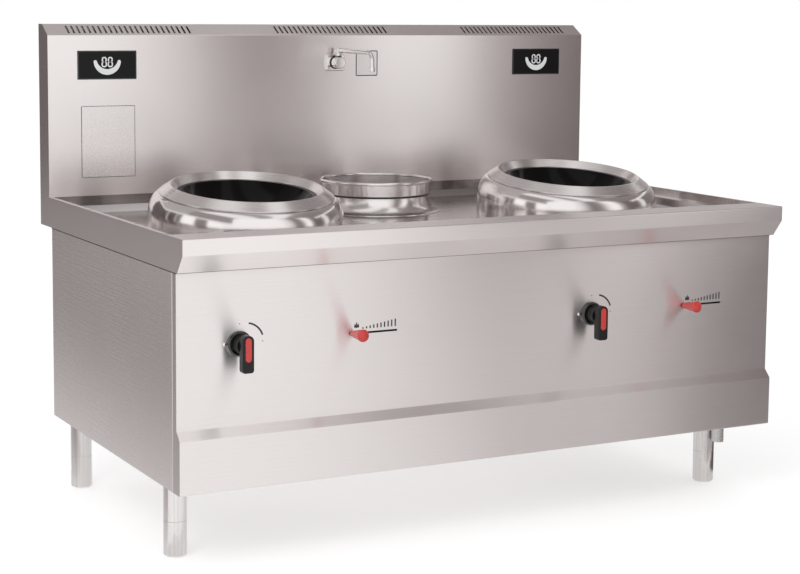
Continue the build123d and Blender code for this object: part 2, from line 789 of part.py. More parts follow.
ring_points = (
    (ring_bore - ring_shelf, shelf_top),
    (ring_bore, shelf_top),
    (ring_bore, -ring_drop),
    (lip_radius, 0),
    (lip_radius + lip_width, 0),
    (ring_radius, -ring_drop),
    (ring_radius, base_seat),
    (ring_radius - ring_sheet, base_seat),
    (ring_radius - ring_sheet, -ring_drop - ring_sheet / 2),
    (lip_radius + lip_width / 2, -2 * ring_sheet),
    (ring_bore + ring_sheet, -ring_drop - ring_sheet / 2),
    (ring_bore + ring_sheet, shelf_top - ring_sheet),
    (ring_bore - ring_shelf, shelf_top - ring_sheet),
)
for (side, sign), x in zip(sides, well_xs):
    with BuildPart() as well_base:
        with BuildSketch(well_profile_plane(x)):
            with BuildLine():
                Line((bulge_radius - base_seat_width, base_seat), (bulge_radius, base_seat))
                EllipticalCenterArc(
                    (bulge_radius, bulge_height),
                    base_bulge_width,
                    base_bulge_height,
                    start_angle=0,
                    arc_size=90,
                )
                Polyline(
                    (base_radius, bulge_height),
                    (base_radius, base_reach),
                    (base_radius - top_sheet, base_reach),
                    (base_radius - top_sheet, bulge_height),
                )
                EllipticalCenterArc(
                    (bulge_radius, bulge_height),
                    base_bulge_width - top_sheet,
                    base_bulge_height - top_sheet,
                    start_angle=0,
                    arc_size=90,
                )
                Polyline(
                    (bulge_radius, base_seat - top_sheet),
                    (bulge_radius - base_seat_width, base_seat - top_sheet),
                    (bulge_radius - base_seat_width, base_seat),
                )
            make_face()
        revolve(axis=well_axis(x))
        split(bisect_by=Plane.XY.offset(floor_top), keep=Keep.TOP)
    well_base.part.label = f"well_base_{side}"
    export_step(well_base.part, f"parts/well_base_{side}.step")

    with BuildPart() as seat_ring:
        with BuildSketch(well_profile_plane(x)) as ring_section:
            with BuildLine():
                Polyline(*ring_points, close=True)
            make_face()
            fillet(ring_section.vertices().group_by(Axis.Y)[-1], lip_round)
        revolve(axis=well_axis(x))
    seat_ring.part.label = f"seat_ring_{side}"
    export_step(seat_ring.part, f"parts/seat_ring_{side}.step")

    with BuildPart() as glass_bowl:
        flange_under = -(bowl_sink + bowl_flange_glass)
        edge_radius = sqrt(glass_sphere**2 - (sphere_height - flange_under) ** 2)
        with BuildSketch(well_profile_plane(x)):
            with BuildLine():
                ThreePointArc(*[on_sphere(bowl_sphere, r) for r in (0, bowl_radius / 2, bowl_radius)])
                Polyline(
                    (bowl_radius, -bowl_sink),
                    (bowl_radius + bowl_flange, -bowl_sink),
                    (bowl_radius + bowl_flange, flange_under),
                    (edge_radius, flange_under),
                )
                ThreePointArc(*[on_sphere(glass_sphere, r) for r in (edge_radius, edge_radius / 2, 0)])
                Line(on_sphere(glass_sphere, 0), on_sphere(bowl_sphere, 0))
            make_face()
        revolve(axis=well_axis(x))
    glass_bowl.part.label = f"glass_bowl_{side}"
    export_step(glass_bowl.part, f"parts/glass_bowl_{side}.step")

seal_outer = ring_bore - seat_gap
with BuildPart() as bowl_seals:
    for x in well_xs:
        with BuildSketch(well_plane(x).offset(shelf_top)):
            Circle(seal_outer)
            Circle(seal_outer - seal_width, mode=Mode.SUBTRACT)
        extrude(amount=seal_thickness)
bowl_seals.part.label = "bowl_seals"
export_step(bowl_seals.part, "parts/bowl_seals.step")

coil_outline = dish_section(coil_sphere, coil_sphere + coil_thickness, coil_bore, coil_reach)
with BuildPart() as coils:
    for x in well_xs:
        with BuildSketch(well_profile_plane(x)):
            make_face(coil_outline)
        revolve(axis=well_axis(x))
coils.part.label = "coils"
export_step(coils.part, "parts/coils.step")

web_under = on_sphere(carrier_outside, carrier_reach)[1]
shelf_under = shelf_top - ring_sheet
ferrite_angle = degrees(asin(ferrite_radius / carrier_outside))
ferrite_centre = carrier_outside + ferrite_height / 2 - ferrite_sunk
carrier_outline = dish_section(carrier_sphere, carrier_outside, coil_bore, carrier_reach)
with BuildPart() as coil_carriers:
    for x in well_xs:
        with BuildSketch(well_profile_plane(x)):
            make_face(carrier_outline)
            with Locations((carrier_reach - carrier_wall, web_under)):
                web_width = carrier_wall_outer - carrier_reach + carrier_wall
                Rectangle(web_width, carrier_thickness, align=(Align.MIN, Align.MIN))
            with Locations((carrier_wall_outer - carrier_wall, web_under)):
                Rectangle(carrier_wall, shelf_under - web_under, align=(Align.MIN, Align.MIN))
        revolve(axis=well_axis(x))
        with Locations(well_plane(x).offset(sphere_height)):
            with PolarLocations(0, ferrite_bars):
                with Locations(Location((0, 0, 0), (0, -ferrite_angle, 0))):
                    with Locations((0, 0, -ferrite_centre)):
                        Box(ferrite_length, ferrite_width, ferrite_height)
coil_carriers.part.label = "coil_carriers"
export_step(coil_carriers.part, "parts/coil_carriers.step")

# ================================================================ soup pot in its flared collar
shoulder = pot_rim_height - pot_band_height
collar_top = shoulder - seat_gap
pot_axis = Axis((0, pot_y, 0), (0, 0, 1))
bead_height = pot_rim_height - pot_bead
bead_radius = pot_band_radius + pot_bead - pot_sheet
pot_wall = FilletPolyline(
    (0, pot_bottom),
    (pot_body_radius, pot_bottom),
    (pot_body_radius, shoulder),
    radius=pot_corner,
)
pot_band = Polyline((pot_body_radius, shoulder), (pot_band_radius, shoulder), (pot_band_radius, bead_height))
pot_outline = folded_sheet(Wire(pot_wall.edges() + pot_band.edges()), pot_sheet)
with BuildPart() as soup_pot:
    with BuildSketch(front_plane(pot_y)):
        make_face(pot_outline)
        with Locations((bead_radius, bead_height)):
            Circle(pot_bead)
    revolve(axis=pot_axis)
soup_pot.part.label = "soup_pot"
export_step(soup_pot.part, "parts/soup_pot.step")

flare_centre = (collar_neck_radius + collar_flare, collar_top)
flare_rise = collar_top - floor_top
with BuildPart() as pot_collar:
    with BuildSketch(front_plane(pot_y)):
        with BuildLine():
            EllipticalCenterArc(
                flare_centre,
                collar_flare,
                flare_rise - pot_sheet,
                start_angle=180,
                arc_size=90,
            )
            Polyline(
                (flare_centre[0], floor_top + pot_sheet),
                (flare_centre[0] + collar_flange, floor_top + pot_sheet),
                (flare_centre[0] + collar_flange, floor_top),
                (flare_centre[0], floor_top),
            )
            EllipticalCenterArc(
                flare_centre,
                collar_flare + pot_sheet,
                flare_rise,
                start_angle=180,
                arc_size=90,
            )
            Line((collar_neck_radius - pot_sheet, collar_top), (collar_neck_radius, collar_top))
        make_face()
    revolve(axis=pot_axis)
pot_collar.part.label = "pot_collar"
export_step(pot_collar.part, "parts/pot_collar.step")

# ================================================================ swing tap
tap_y = splash_face - tap_axis_reach
tap_post_top = tap_height + tap_post_rise
spout_height = tap_height + spout_rise
spout_end = spout_height - spout_fall
with BuildPart() as tap_body:
    with BuildSketch(front_plane(splash_face)):
        with Locations((0, tap_height)):
            RectangleRounded(tap_plate_width, tap_plate_tall, tap_plate_corner)
    extrude(amount=tap_plate_depth)
    with BuildSketch(front_plane(splash_face)):
        with Locations((0, tap_height)):
            Circle(tap_valve_radius)
    extrude(amount=tap_valve_length)
    with BuildSketch(front_plane(splash_face)):
        with Locations((0, tap_height)):
            Circle(tap_tail_radius)
    extrude(amount=-tap_tail_length)
    with BuildSketch(Plane.XY.offset(tap_height)):
        with Locations((0, tap_y)):
            Circle(tap_post_radius)
    extrude(amount=tap_post_top - tap_height)
    with BuildSketch(Plane.XY.offset(tap_post_top)):
        with Locations((0, tap_y)):
            Circle(spout_pin_radius + run_gap)
    extrude(amount=-(spout_pin_length + seat_gap), mode=Mode.SUBTRACT)
tap_body.part.label = "tap_body"
export_step(tap_body.part, "parts/tap_body.step")

spout_tip_y = splash_face - spout_reach
with BuildPart() as spout:
    with BuildLine() as spout_path:
        FilletPolyline(
            (0, tap_y, spout_height),
            (0, spout_tip_y, spout_height),
            (0, spout_tip_y, spout_end),
            radius=spout_bend,
        )
    with BuildSketch(front_plane(tap_y)):
        with Locations((0, spout_height)):
            Circle(spout_radius)
    sweep(path=spout_path.line)
    with BuildSketch(Plane.XY.offset(tap_post_top + seat_gap)):
        with Locations((0, tap_y)):
            Circle(spout_collar_radius)
    extrude(amount=spout_height + spout_collar_above - tap_post_top - seat_gap)
    with BuildSketch(Plane.XY.offset(tap_post_top - spout_pin_length)):
        with Locations((0, tap_y)):
            Circle(spout_pin_radius)
    extrude(amount=spout_pin_length + spout_collar_above)
    with BuildSketch(Plane.XY.offset(spout_end)):
        with Locations((0, spout_tip_y)):
            Circle(spout_bore)
    extrude(amount=spout_bend, mode=Mode.SUBTRACT)
spout.part.label = "spout"
export_step(spout.part, "parts/spout.step")

with BuildPart() as spout_nozzle:
    with BuildSketch(Plane.XY.offset(spout_end - nozzle_below)):
        with Locations((0, spout_tip_y)):
            Circle(nozzle_radius)
            Circle(spout_bore, mode=Mode.SUBTRACT)
    extrude(amount=nozzle_below)
    with BuildSketch(Plane.XY.offset(spout_end)):
        with Locations((0, spout_tip_y)):
            Circle(nozzle_radius)
            Circle(spout_radius + run_gap, mode=Mode.SUBTRACT)
    extrude(amount=nozzle_skirt)
spout_nozzle.part.label = "spout_nozzle"
export_step(spout_nozzle.part, "parts/spout_nozzle.step")

supply_start = splash_face + tap_tail_length
supply_end = rim_bottom - supply_tail
with BuildPart() as supply_pipe:
    with BuildLine() as supply_path:
        FilletPolyline(
            (0, supply_start, tap_height),
            (0, supply_y, tap_height),
            (0, supply_y, supply_end),
            radius=supply_bend,
        )
    with BuildSketch(front_plane(supply_start)):
        with Locations((0, tap_height)):
            Circle(supply_radius)
            Circle(supply_bore, mode=Mode.SUBTRACT)
    sweep(path=supply_path.line)
    with BuildSketch(Plane.XY.offset(supply_end)):
        with Locations((0, supply_y)):
            Circle(supply_nipple_radius)
            Circle(supply_bore, mode=Mode.SUBTRACT)
    extrude(amount=supply_nipple_length)
supply_pipe.part.label = "supply_pipe"
export_step(supply_pipe.part, "parts/supply_pipe.step")

# ================================================================ isolator switches
flange_face = panel_face - isolator_flange
with BuildPart() as isolator_switches:
    for x in isolator_xs:
        with BuildSketch(front_plane(panel_face)):
            with Locations((x, control_height)):
                Circle(isolator_radius)
        extrude(amount=isolator_flange)
        with BuildSketch(front_plane(panel_face)):
            with Locations((x, control_height)):
                Circle(isolator_neck)
        extrude(amount=-panel_sheet)
        with BuildSketch(front_plane(panel_back)):
            with Locations((x, control_height)):
                Rectangle(isolator_body, isolator_body)
        extrude(amount=-isolator_body_depth)
    chamfer(isolator_switches.edges().group_by(Axis.Y)[0], isolator_chamfer)
    with BuildSketch(front_plane(flange_face)):
        with Locations(*[(x, control_height) for x in isolator_xs]):
            Circle(shaft_radius + run_gap)
    extrude(amount=-(shaft_length + seat_gap), mode=Mode.SUBTRACT)
isolator_switches.part.label = "isolator_switches"
export_step(isolator_switches.part, "parts/isolator_switches.step")

hub_back = flange_face - seat_gap
grip_back = hub_back - handle_hub_length
grip_face = grip_back - handle_depth
insert_z = control_height + insert_top - insert_length / 2
for (side, sign), x in zip(sides, isolator_xs):
    with BuildPart() as isolator_handle:
        with BuildSketch(front_plane(grip_back)) as grip_outline:
            with Locations((x, control_height + (handle_above - handle_below) / 2)):
                Rectangle(handle_width, handle_above + handle_below)
            fillet(grip_outline.vertices().group_by(Axis.Y)[-1], handle_top_corner)
            fillet(grip_outline.vertices().group_by(Axis.Y)[0], handle_end_corner)
        extrude(amount=handle_depth)
        fillet(isolator_handle.edges().group_by(Axis.Y)[0], handle_edge)
        with BuildSketch(front_plane(hub_back)):
            with Locations((x, control_height)):
                Circle(handle_hub_radius)
        extrude(amount=handle_hub_length)
        with BuildSketch(front_plane(flange_face)):
            with Locations((x, control_height)):
                Circle(shaft_radius)
        extrude(amount=-shaft_length)
        with BuildSketch(front_plane(flange_face)):
            with Locations((x, control_height)):
                Circle(shaft_radius)
        extrude(amount=seat_gap)
        with BuildSketch(front_plane(grip_face)):
            with Locations((x, insert_z)):
                SlotOverall(insert_length, insert_width, rotation=90)
        extrude(amount=-insert_recess, mode=Mode.SUBTRACT)
    isolator_handle.part.label = f"isolator_handle_{side}"
    export_step(isolator_handle.part, f"parts/isolator_handle_{side}.step")

    with BuildPart() as handle_insert:
        with BuildSketch(front_plane(grip_face + insert_recess)):
            with Locations((x, insert_z)):
                SlotOverall(insert_length, insert_width, rotation=90)
        extrude(amount=insert_thickness)
    handle_insert.part.label = f"handle_insert_{side}"
    export_step(handle_insert.part, f"parts/handle_insert_{side}.step")

with BuildPart() as isolator_screws:
    with BuildSketch(front_plane(panel_face)):
        for x in isolator_xs:
            with Locations((x - isolator_screw_offset, control_height)):
                Circle(screw_radius)
            with Locations((x + isolator_screw_offset, control_height)):
                Circle(screw_radius)
    extrude(amount=screw_height)
    fillet(isolator_screws.edges().group_by(Axis.Y)[0], screw_round)
isolator_screws.part.label = "isolator_screws"
export_step(isolator_screws.part, "parts/isolator_screws.step")

# ================================================================ sliding power levers
cavity_height = track_height - 2 * track_wall
cavity_depth = track_depth - track_wall
cavity_length = lever_travel + carriage_length + 2 * track_end
with BuildPart() as lever_tracks:
    with BuildSketch(front_plane(panel_back)):
        with Locations(*[(x + lever_travel / 2, control_height) for x in lever_xs]):
            Rectangle(cavity_length + 2 * track_wall, track_height)
    extrude(amount=-track_depth)
    with BuildSketch(front_plane(panel_back)):
        with Locations(*[(x + lever_travel / 2, control_height) for x in lever_xs]):
            Rectangle(cavity_length, cavity_height)
    extrude(amount=-cavity_depth, mode=Mode.SUBTRACT)
lever_tracks.part.label = "lever_tracks"
export_step(lever_tracks.part, "parts/lever_tracks.step")

carriage_front = panel_back + seat_gap
stem_root = panel_sheet + seat_gap + track_wall
knob_rim = knob_reach - knob_dome
knob_sphere = (knob_large_radius**2 + knob_dome**2) / (2 * knob_dome)
knob_half = knob_large_radius / 2
knob_shoulder = knob_reach - knob_sphere + sqrt(knob_sphere**2 - knob_half**2)
for (side, sign), x in zip(sides, lever_xs):
    with BuildPart() as lever_carriage:
        with BuildSketch(front_plane(carriage_front)):
            with Locations((x, control_height)):
                Rectangle(carriage_length, cavity_height - 2 * seat_gap)
        extrude(amount=-(cavity_depth - 2 * seat_gap))
        with BuildSketch(lever_plane(x).offset(knob_gap)):
            Circle(lever_stem_radius)
        extrude(amount=-(knob_gap + stem_root))
    lever_carriage.part.label = f"lever_carriage_{side}"
    export_step(lever_carriage.part, f"parts/lever_carriage_{side}.step")

    stem = lever_plane(x)
    with BuildPart() as lever_knob:
        with BuildSketch(Plane(origin=stem.origin, x_dir=stem.x_dir, z_dir=-stem.y_dir)) as knob_section:
            with BuildLine():
                Polyline(
                    (0, knob_reach),
                    (0, knob_gap),
                    (knob_small_radius, knob_gap),
                    (knob_large_radius, knob_rim),
                )
                ThreePointArc((knob_large_radius, knob_rim), (knob_half, knob_shoulder), (0, knob_reach))
            make_face()
            fillet(knob_section.vertices().sort_by(Axis.X)[-1], knob_round)
        revolve(axis=Axis(stem.origin, stem.z_dir))
    lever_knob.part.label = f"lever_knob_{side}"
    export_step(lever_knob.part, f"parts/lever_knob_{side}.step")

# ================================================================ drain
cup_radius = drain_bore - seat_gap
cup_inner = cup_radius - drain_cup_wall
drain_run_height = floor_under - drain_drop
with BuildPart() as drain_cover:
    with BuildSketch(Plane.XY.offset(floor_top)):
        with Locations((drain_x, drain_y)):
            Circle(drain_flange)
            Circle(cup_inner, mode=Mode.SUBTRACT)
    extrude(amount=drain_cup_wall)
    with BuildSketch(Plane.XY.offset(floor_top - drain_cup_depth)):
        with Locations((drain_x, drain_y)):
            Circle(cup_radius)
            Circle(cup_inner, mode=Mode.SUBTRACT)
    extrude(amount=drain_cup_depth)
    with BuildSketch(Plane.XY.offset(floor_top - drain_cup_depth)):
        with Locations((drain_x, drain_y)):
            Circle(cup_radius)
            with PolarLocations(drain_hole_circle, drain_holes):
                Circle(drain_hole_radius, mode=Mode.SUBTRACT)
    extrude(amount=drain_cup_wall)
drain_cover.part.label = "drain_cover"
export_step(drain_cover.part, "parts/drain_cover.step")

with BuildPart() as drain_pipe:
    with BuildLine() as drain_path:
        FilletPolyline(
            (drain_x, drain_y, floor_under),
            (drain_x, drain_y, drain_run_height),
            (drain_exit_x, drain_exit_y, drain_run_height),
            (drain_exit_x, drain_exit_y, drain_exit_height),
            radius=drain_bend,
        )
    with BuildSketch(Plane.XY.offset(floor_under)):
        with Locations((drain_x, drain_y)):
            Circle(drain_pipe_radius)
            Circle(drain_bore, mode=Mode.SUBTRACT)
    sweep(path=drain_path.line)
    with BuildSketch(Plane.XY.offset(floor_under)):
        with Locations((drain_x, drain_y)):
            Circle(drain_flange)
            Circle(drain_bore, mode=Mode.SUBTRACT)
    extrude(amount=-drain_pipe_wall)
    with BuildSketch(Plane.XY.offset(drain_exit_height)):
        with Locations((drain_exit_x, drain_exit_y)):
            Circle(drain_spigot_radius)
            Circle(drain_bore, mode=Mode.SUBTRACT)
    extrude(amount=drain_spigot_length)
drain_pipe.part.label = "drain_pipe"
export_step(drain_pipe.part, "parts/drain_pipe.step")

# ================================================================ power modules and fans
fin_pitch = (module_width - fin_thickness) / (fin_count - 1)
with BuildPart() as power_modules:
    with BuildSketch(Plane.XY.offset(floor_panel_top)):
        with Locations(*[(x, module_y) for x in well_xs]):
            Rectangle(module_width, module_depth)
    extrude(amount=module_height)
    with BuildSketch(Plane.XY.offset(floor_panel_top + module_height)):
        for x in well_xs:
            with Locations((x, module_y)):
                with GridLocations(fin_pitch, 0, fin_count, 1):
                    Rectangle(fin_thickness, module_depth)
    extrude(amount=fin_height)
power_modules.part.label = "power_modules"
export_step(power_modules.part, "parts/power_modules.step")

fan_back = body_back - panel_sheet
fan_front = fan_back - fan_depth
hub_front = fan_front + spoke_depth + fan_end_gap
with BuildPart() as fan_frames:
    with BuildSketch(front_plane(fan_back)):
        with Locations(*[(x, fan_height) for x in well_xs]):
            Rectangle(fan_size, fan_size)
            Circle(fan_bore, mode=Mode.SUBTRACT)
    extrude(amount=fan_depth)
    with BuildSketch(front_plane(fan_front)):
        for x in well_xs:
            with Locations((x, fan_height)):
                Rectangle(2 * fan_bore + spoke_width, spoke_width)
                Rectangle(spoke_width, 2 * fan_bore + spoke_width)
                Circle(boss_radius)
    extrude(amount=-spoke_depth)
    with BuildSketch(front_plane(fan_front)):
        with Locations(*[(x, fan_height) for x in well_xs]):
            Circle(fan_shaft)
    extrude(amount=-(spoke_depth + fan_end_gap + fan_hub_length))
fan_frames.part.label = "fan_frames"
export_step(fan_frames.part, "parts/fan_frames.step")

blade_tip = fan_bore - fan_tip_gap
blade_reach = blade_tip - fan_hub / 2
for (side, sign), x in zip(sides, well_xs):
    with BuildPart() as fan_rotor:
        with Locations(front_plane(hub_front + fan_hub_length / 2) * Location((x, fan_height, 0))):
            with PolarLocations(0, fan_blades):
                with Locations(Location((fan_hub / 2 + blade_reach / 2, 0, 0), (fan_blade_pitch, 0, 0))):
                    Box(blade_reach, fan_blade_chord, fan_blade_thickness)
        with BuildSketch(front_plane(hub_front)):
            with Locations((x, fan_height)):
                Circle(blade_tip)
        extrude(amount=-fan_hub_length, mode=Mode.INTERSECT)
        with BuildSketch(front_plane(hub_front)):
            with Locations((x, fan_height)):
                Circle(fan_hub)
        extrude(amount=-fan_hub_length)
        with BuildSketch(front_plane(hub_front)):
            with Locations((x, fan_height)):
                Circle(fan_shaft + run_gap)
        extrude(amount=-fan_hub_length, mode=Mode.SUBTRACT)
    fan_rotor.part.label = f"fan_rotor_{side}"
    export_step(fan_rotor.part, f"parts/fan_rotor_{side}.step")

# ================================================================ terminal box and cable gland
with BuildPart() as terminal_box:
    with BuildSketch(front_plane(body_back - panel_sheet)):
        with Locations((0, box_height)):
            Rectangle(box_width, box_tall)
    extrude(amount=box_depth)
    with BuildSketch(front_plane(body_back - panel_sheet)):
        with Locations((0, box_height)):
            Rectangle(box_width - 2 * panel_sheet, box_tall - 2 * panel_sheet)
    extrude(amount=box_depth - panel_sheet, mode=Mode.SUBTRACT)
terminal_box.part.label = "terminal_box"
export_step(terminal_box.part, "parts/terminal_box.step")

with BuildPart() as cable_gland:
    with BuildSketch(front_plane(body_back)):
        with Locations((0, box_height)):
            Circle(gland_radius)
    extrude(amount=-gland_length)
    with BuildSketch(front_plane(body_back)):
        with Locations((0, box_height)):
            Circle(gland_neck)
    extrude(amount=panel_sheet)
    with BuildSketch(front_plane(body_back - panel_sheet)):
        with Locations((0, box_height)):
            Circle(gland_bore)
    extrude(amount=-(gland_length + panel_sheet), mode=Mode.SUBTRACT)
cable_gland.part.label = "cable_gland"
export_step(cable_gland.part, "parts/cable_gland.step")
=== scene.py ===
# A double-well wok range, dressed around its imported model. Everything is in metres.
# +X is the cook's right, +Y runs from the cook to the splashback, and +Z is up.
import json
import math

import bpy
import bmesh
import numpy as np
from mathutils import Matrix, Vector


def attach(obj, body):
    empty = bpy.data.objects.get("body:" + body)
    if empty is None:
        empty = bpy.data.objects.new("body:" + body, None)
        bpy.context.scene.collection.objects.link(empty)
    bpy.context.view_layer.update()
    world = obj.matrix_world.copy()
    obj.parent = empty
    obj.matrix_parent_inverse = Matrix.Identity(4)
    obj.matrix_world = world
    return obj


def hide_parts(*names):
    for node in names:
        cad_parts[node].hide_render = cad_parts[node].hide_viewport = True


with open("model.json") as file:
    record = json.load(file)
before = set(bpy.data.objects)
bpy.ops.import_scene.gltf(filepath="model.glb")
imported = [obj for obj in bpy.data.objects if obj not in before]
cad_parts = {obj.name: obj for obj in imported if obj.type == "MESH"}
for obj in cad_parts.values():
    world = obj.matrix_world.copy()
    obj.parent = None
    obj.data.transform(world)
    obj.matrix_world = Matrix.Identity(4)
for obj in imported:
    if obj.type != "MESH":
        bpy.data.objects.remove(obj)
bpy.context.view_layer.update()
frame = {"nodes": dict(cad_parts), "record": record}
nodes = frame["nodes"]

TURN = 2 * math.pi
UP = (0, 0, 1)
OUT = (0, -1, 0)
SIDES = (("left", -1), ("right", 1))

# Places that the range's own sheets and axes give.
HALF_WIDTH = 0.9
HALF_BODY = 0.898
RIM_FRONT = -0.546
RIM_TOP = 0.835
RIM_SLOPE_TOP = 0.795
RIM_SLOPE_INSET = 0.035
RIM_BOTTOM = 0.750
RIM_BACK = RIM_FRONT + 1.110
PANEL_FACE = RIM_FRONT + 0.050
KICK_FACE = PANEL_FACE - 0.021
RETURN_BACK = PANEL_FACE + 0.025
BEVEL_TOP = 0.363
BEVEL_BOTTOM = 0.341
BODY_BOTTOM = 0.208
BODY_BACK = RIM_BACK - 0.098
SPLASH_FACE = RIM_BACK - 0.083
SPLASH_TOP = 1.325
TRAY_FLOOR = 0.790
FOLD = 0.003  # the radius of a folded sheet's bends
PANEL_SHEET = 0.0015
TOP_SHEET = 0.002
WELL_X = 0.514
WELL_Y = RIM_FRONT + 0.506
LIP_HEIGHT = 0.901
TILT = math.radians(6.4)
POT_Y = SPLASH_FACE - 0.281
CONTROL_HEIGHT = 0.567
MARK_SUNK = 0.0001  # how far a printed mark reaches into its face
MARK_RISE = 0.0002
ISOLATOR_XS = (-0.736, 0.292)
LEVER_XS = (-0.426, 0.602)


# ---------- shapes
def unit(v):
    """A vector, or a row of vectors, divided by its length."""
    v = np.asarray(v, float)
    return v / np.linalg.norm(v, axis=-1, keepdims=True)


def rounded(points, radius, steps=5):
    """A path whose corners are arcs.

    At a corner the arc starts at radius over the tangent of half the inside angle, along each
    side, and its points turn about a centre on the bisector by equal angles between the sides.
    """
    points = np.asarray(points, float)
    radii = np.broadcast_to(radius, (len(points) - 2,))
    path = [points[:1]]
    for corner, before, after, r in zip(points[1:-1], points[:-2], points[2:], radii):
        a, b = unit(before - corner), unit(after - corner)
        half = math.acos(np.clip(a @ b, -1, 1)) / 2
        if r <= 0 or half > 1.56:
            path.append(corner[None])
            continue
        centre = corner + unit(a + b) * r / math.sin(half)
        start, end = (corner + side * r / math.tan(half) - centre for side in (a, b))
        turn = math.pi - 2 * half
        t = np.linspace(0, 1, steps + 1)[:, None]
        sweep = np.sin((1 - t) * turn) * start + np.sin(t * turn) * end
        path.append(centre + sweep / math.sin(turn))
    path.append(points[-1:])
    return np.concatenate(path)


def arc(centre, radius, start, end, steps=12):
    """Points of a circle's arc at equal angles, in degrees, as rows of two numbers."""
    angle = np.radians(np.linspace(start, end, steps + 1))
    return np.stack([centre[0] + radius * np.cos(angle), centre[1] + radius * np.sin(angle)], axis=1)


def loop(corners, radius, steps=6):
    """A closed outline with round corners: it starts and ends halfway along its last side."""
    corners = np.asarray(corners, float)
    middle = (corners[:1] + corners[-1:]) / 2
    return rounded(np.concatenate([middle, corners, middle]), radius, steps)[:-1]


def ring(outline):
    """A closed outline with its first point once more at its end."""
    return np.concatenate([outline, outline[:1]])


def hoop(inside, outside, low, high, radius, steps=3):
    """A hoop's closed section: a rectangle between two radii and two levels, with round corners."""
    return ring(loop([(inside, low), (outside, low), (outside, high), (inside, high)], radius, steps))


def upright(half, low, high, radius, steps=8):
    """An upright outline with four round corners, whose radii run from the lower right one round to
    the lower left one, or are all the same."""
    return loop([(half, low), (half, high), (-half, high), (-half, low)], radius, steps)


def inward(outline):
    """At each point of a closed outline, the move that shifts both sides that meet there in by one:
    twice the sum of their left normals over that sum's own square."""
    before = unit(outline - np.roll(outline, 1, axis=0))
    both = before + unit(np.roll(outline, -1, axis=0) - outline)
    both = np.stack([-both[:, 1], both[:, 0]], axis=1)
    return 2 * both / (both**2).sum(axis=1, keepdims=True)


def grid(points, keep=None, flip=False):
    """A shape from rows and columns of points: each face joins a point, its right neighbour and the
    two in the next row. Its pattern runs with the distance along the rows and the columns."""
    points = np.asarray(points, float)
    rows, cols = points.shape[:2]
    i, j = np.meshgrid(np.arange(rows - 1), np.arange(cols - 1), indexing="ij")
    faces = np.stack([i * cols + j, i * cols + j + 1, (i + 1) * cols + j + 1, (i + 1) * cols + j], -1)
    faces = faces.reshape(-1, 4) if keep is None else faces[keep]
    along = np.linalg.norm(np.diff(points, axis=1), axis=2).max(axis=0)
    down = np.linalg.norm(np.diff(points, axis=0), axis=2).max(axis=1)
    uv = np.stack(np.meshgrid(np.cumsum(np.append(0, along)), np.cumsum(np.append(0, down))), -1)
    return points.reshape(-1, 3), faces[:, ::-1] if flip else faces, uv.reshape(-1, 2)


def turned(profile, centre, axis, around=128, flutes=0, depth=0.0):
    """A surface of revolution: each point of the profile stands at its radius on the ray at each
    angle about the axis, and at its height along the axis. Flutes make the radius smaller by the
    depth's share, times one less the cosine of the angle taken that many times, over two."""
    axis = unit(axis)
    across = unit(np.cross([0, 1, 0] if abs(axis[2]) > 0.9 else [0, 0, 1], axis))
    beyond = np.cross(axis, across)
    angle = np.linspace(0, TURN, around + 1)
    ray = np.cos(angle)[:, None] * across + np.sin(angle)[:, None] * beyond
    profile = np.asarray(profile, float)
    cut = 1 - np.broadcast_to(depth, len(profile))[:, None] * (1 - np.cos(flutes * angle)) / 2
    reach = (profile[:, :1] * cut)[..., None] * ray
    return grid(np.asarray(centre) + reach + profile[:, 1, None, None] * axis)


def tube(path, radius, around=32):
    """A round bar along a path: circles of the radius, each square to the path's direction there,
    closed to the path's two ends."""
    path = np.asarray(path, float)
    ahead = unit(np.gradient(path, axis=0))
    side = unit(np.cross(ahead, [1.0, 0.02, 0.01]))
    above = np.cross(ahead, side)
    angle = np.linspace(0, TURN, around + 1)
    ray = np.cos(angle)[:, None] * side[:, None] + np.sin(angle)[:, None] * above[:, None]
    points = path[:, None] + radius * ray
    ends = [np.broadcast_to(end, points[:1].shape) for end in (path[0], path[-1])]
    return grid(np.concatenate([ends[0], points, ends[1]]))


def lofted(outlines, levels, origin=(0, 0, 0), across=(1, 0, 0), up=(0, 0, 1)):
    """Closed outlines of across and up, one in front of another: each stands at its level along
    across turned onto up, and the first and the last close to their own middle."""
    across, up = np.asarray(across, float), np.asarray(up, float)
    rings = np.stack([ring(outline) for outline in outlines])
    ends = [np.broadcast_to(outlines[k].mean(axis=0), rings[:1].shape) for k in (0, -1)]
    rings = np.concatenate([ends[0], rings, ends[1]])
    out = np.concatenate([levels[:1], levels, levels[-1:]])[:, None, None] * np.cross(across, up)
    return grid(np.asarray(origin) + rings[..., :1] * across + rings[..., 1:] * up + out)


def slab(outline, low, high, edge, steps=4, **place):
    """A plate of a closed outline from a low to a high level, with its high edge rounded: round the
    quarter circle the outline shrinks by the edge less its cosine, and the level rises by its sine."""
    turn = np.radians(np.linspace(0, 90, steps + 1))
    insets = np.concatenate([[0], edge * (1 - np.cos(turn))])
    levels = np.concatenate([[low], high - edge + edge * np.sin(turn)])
    return lofted([outline + inset * inward(outline) for inset in insets], levels, **place)


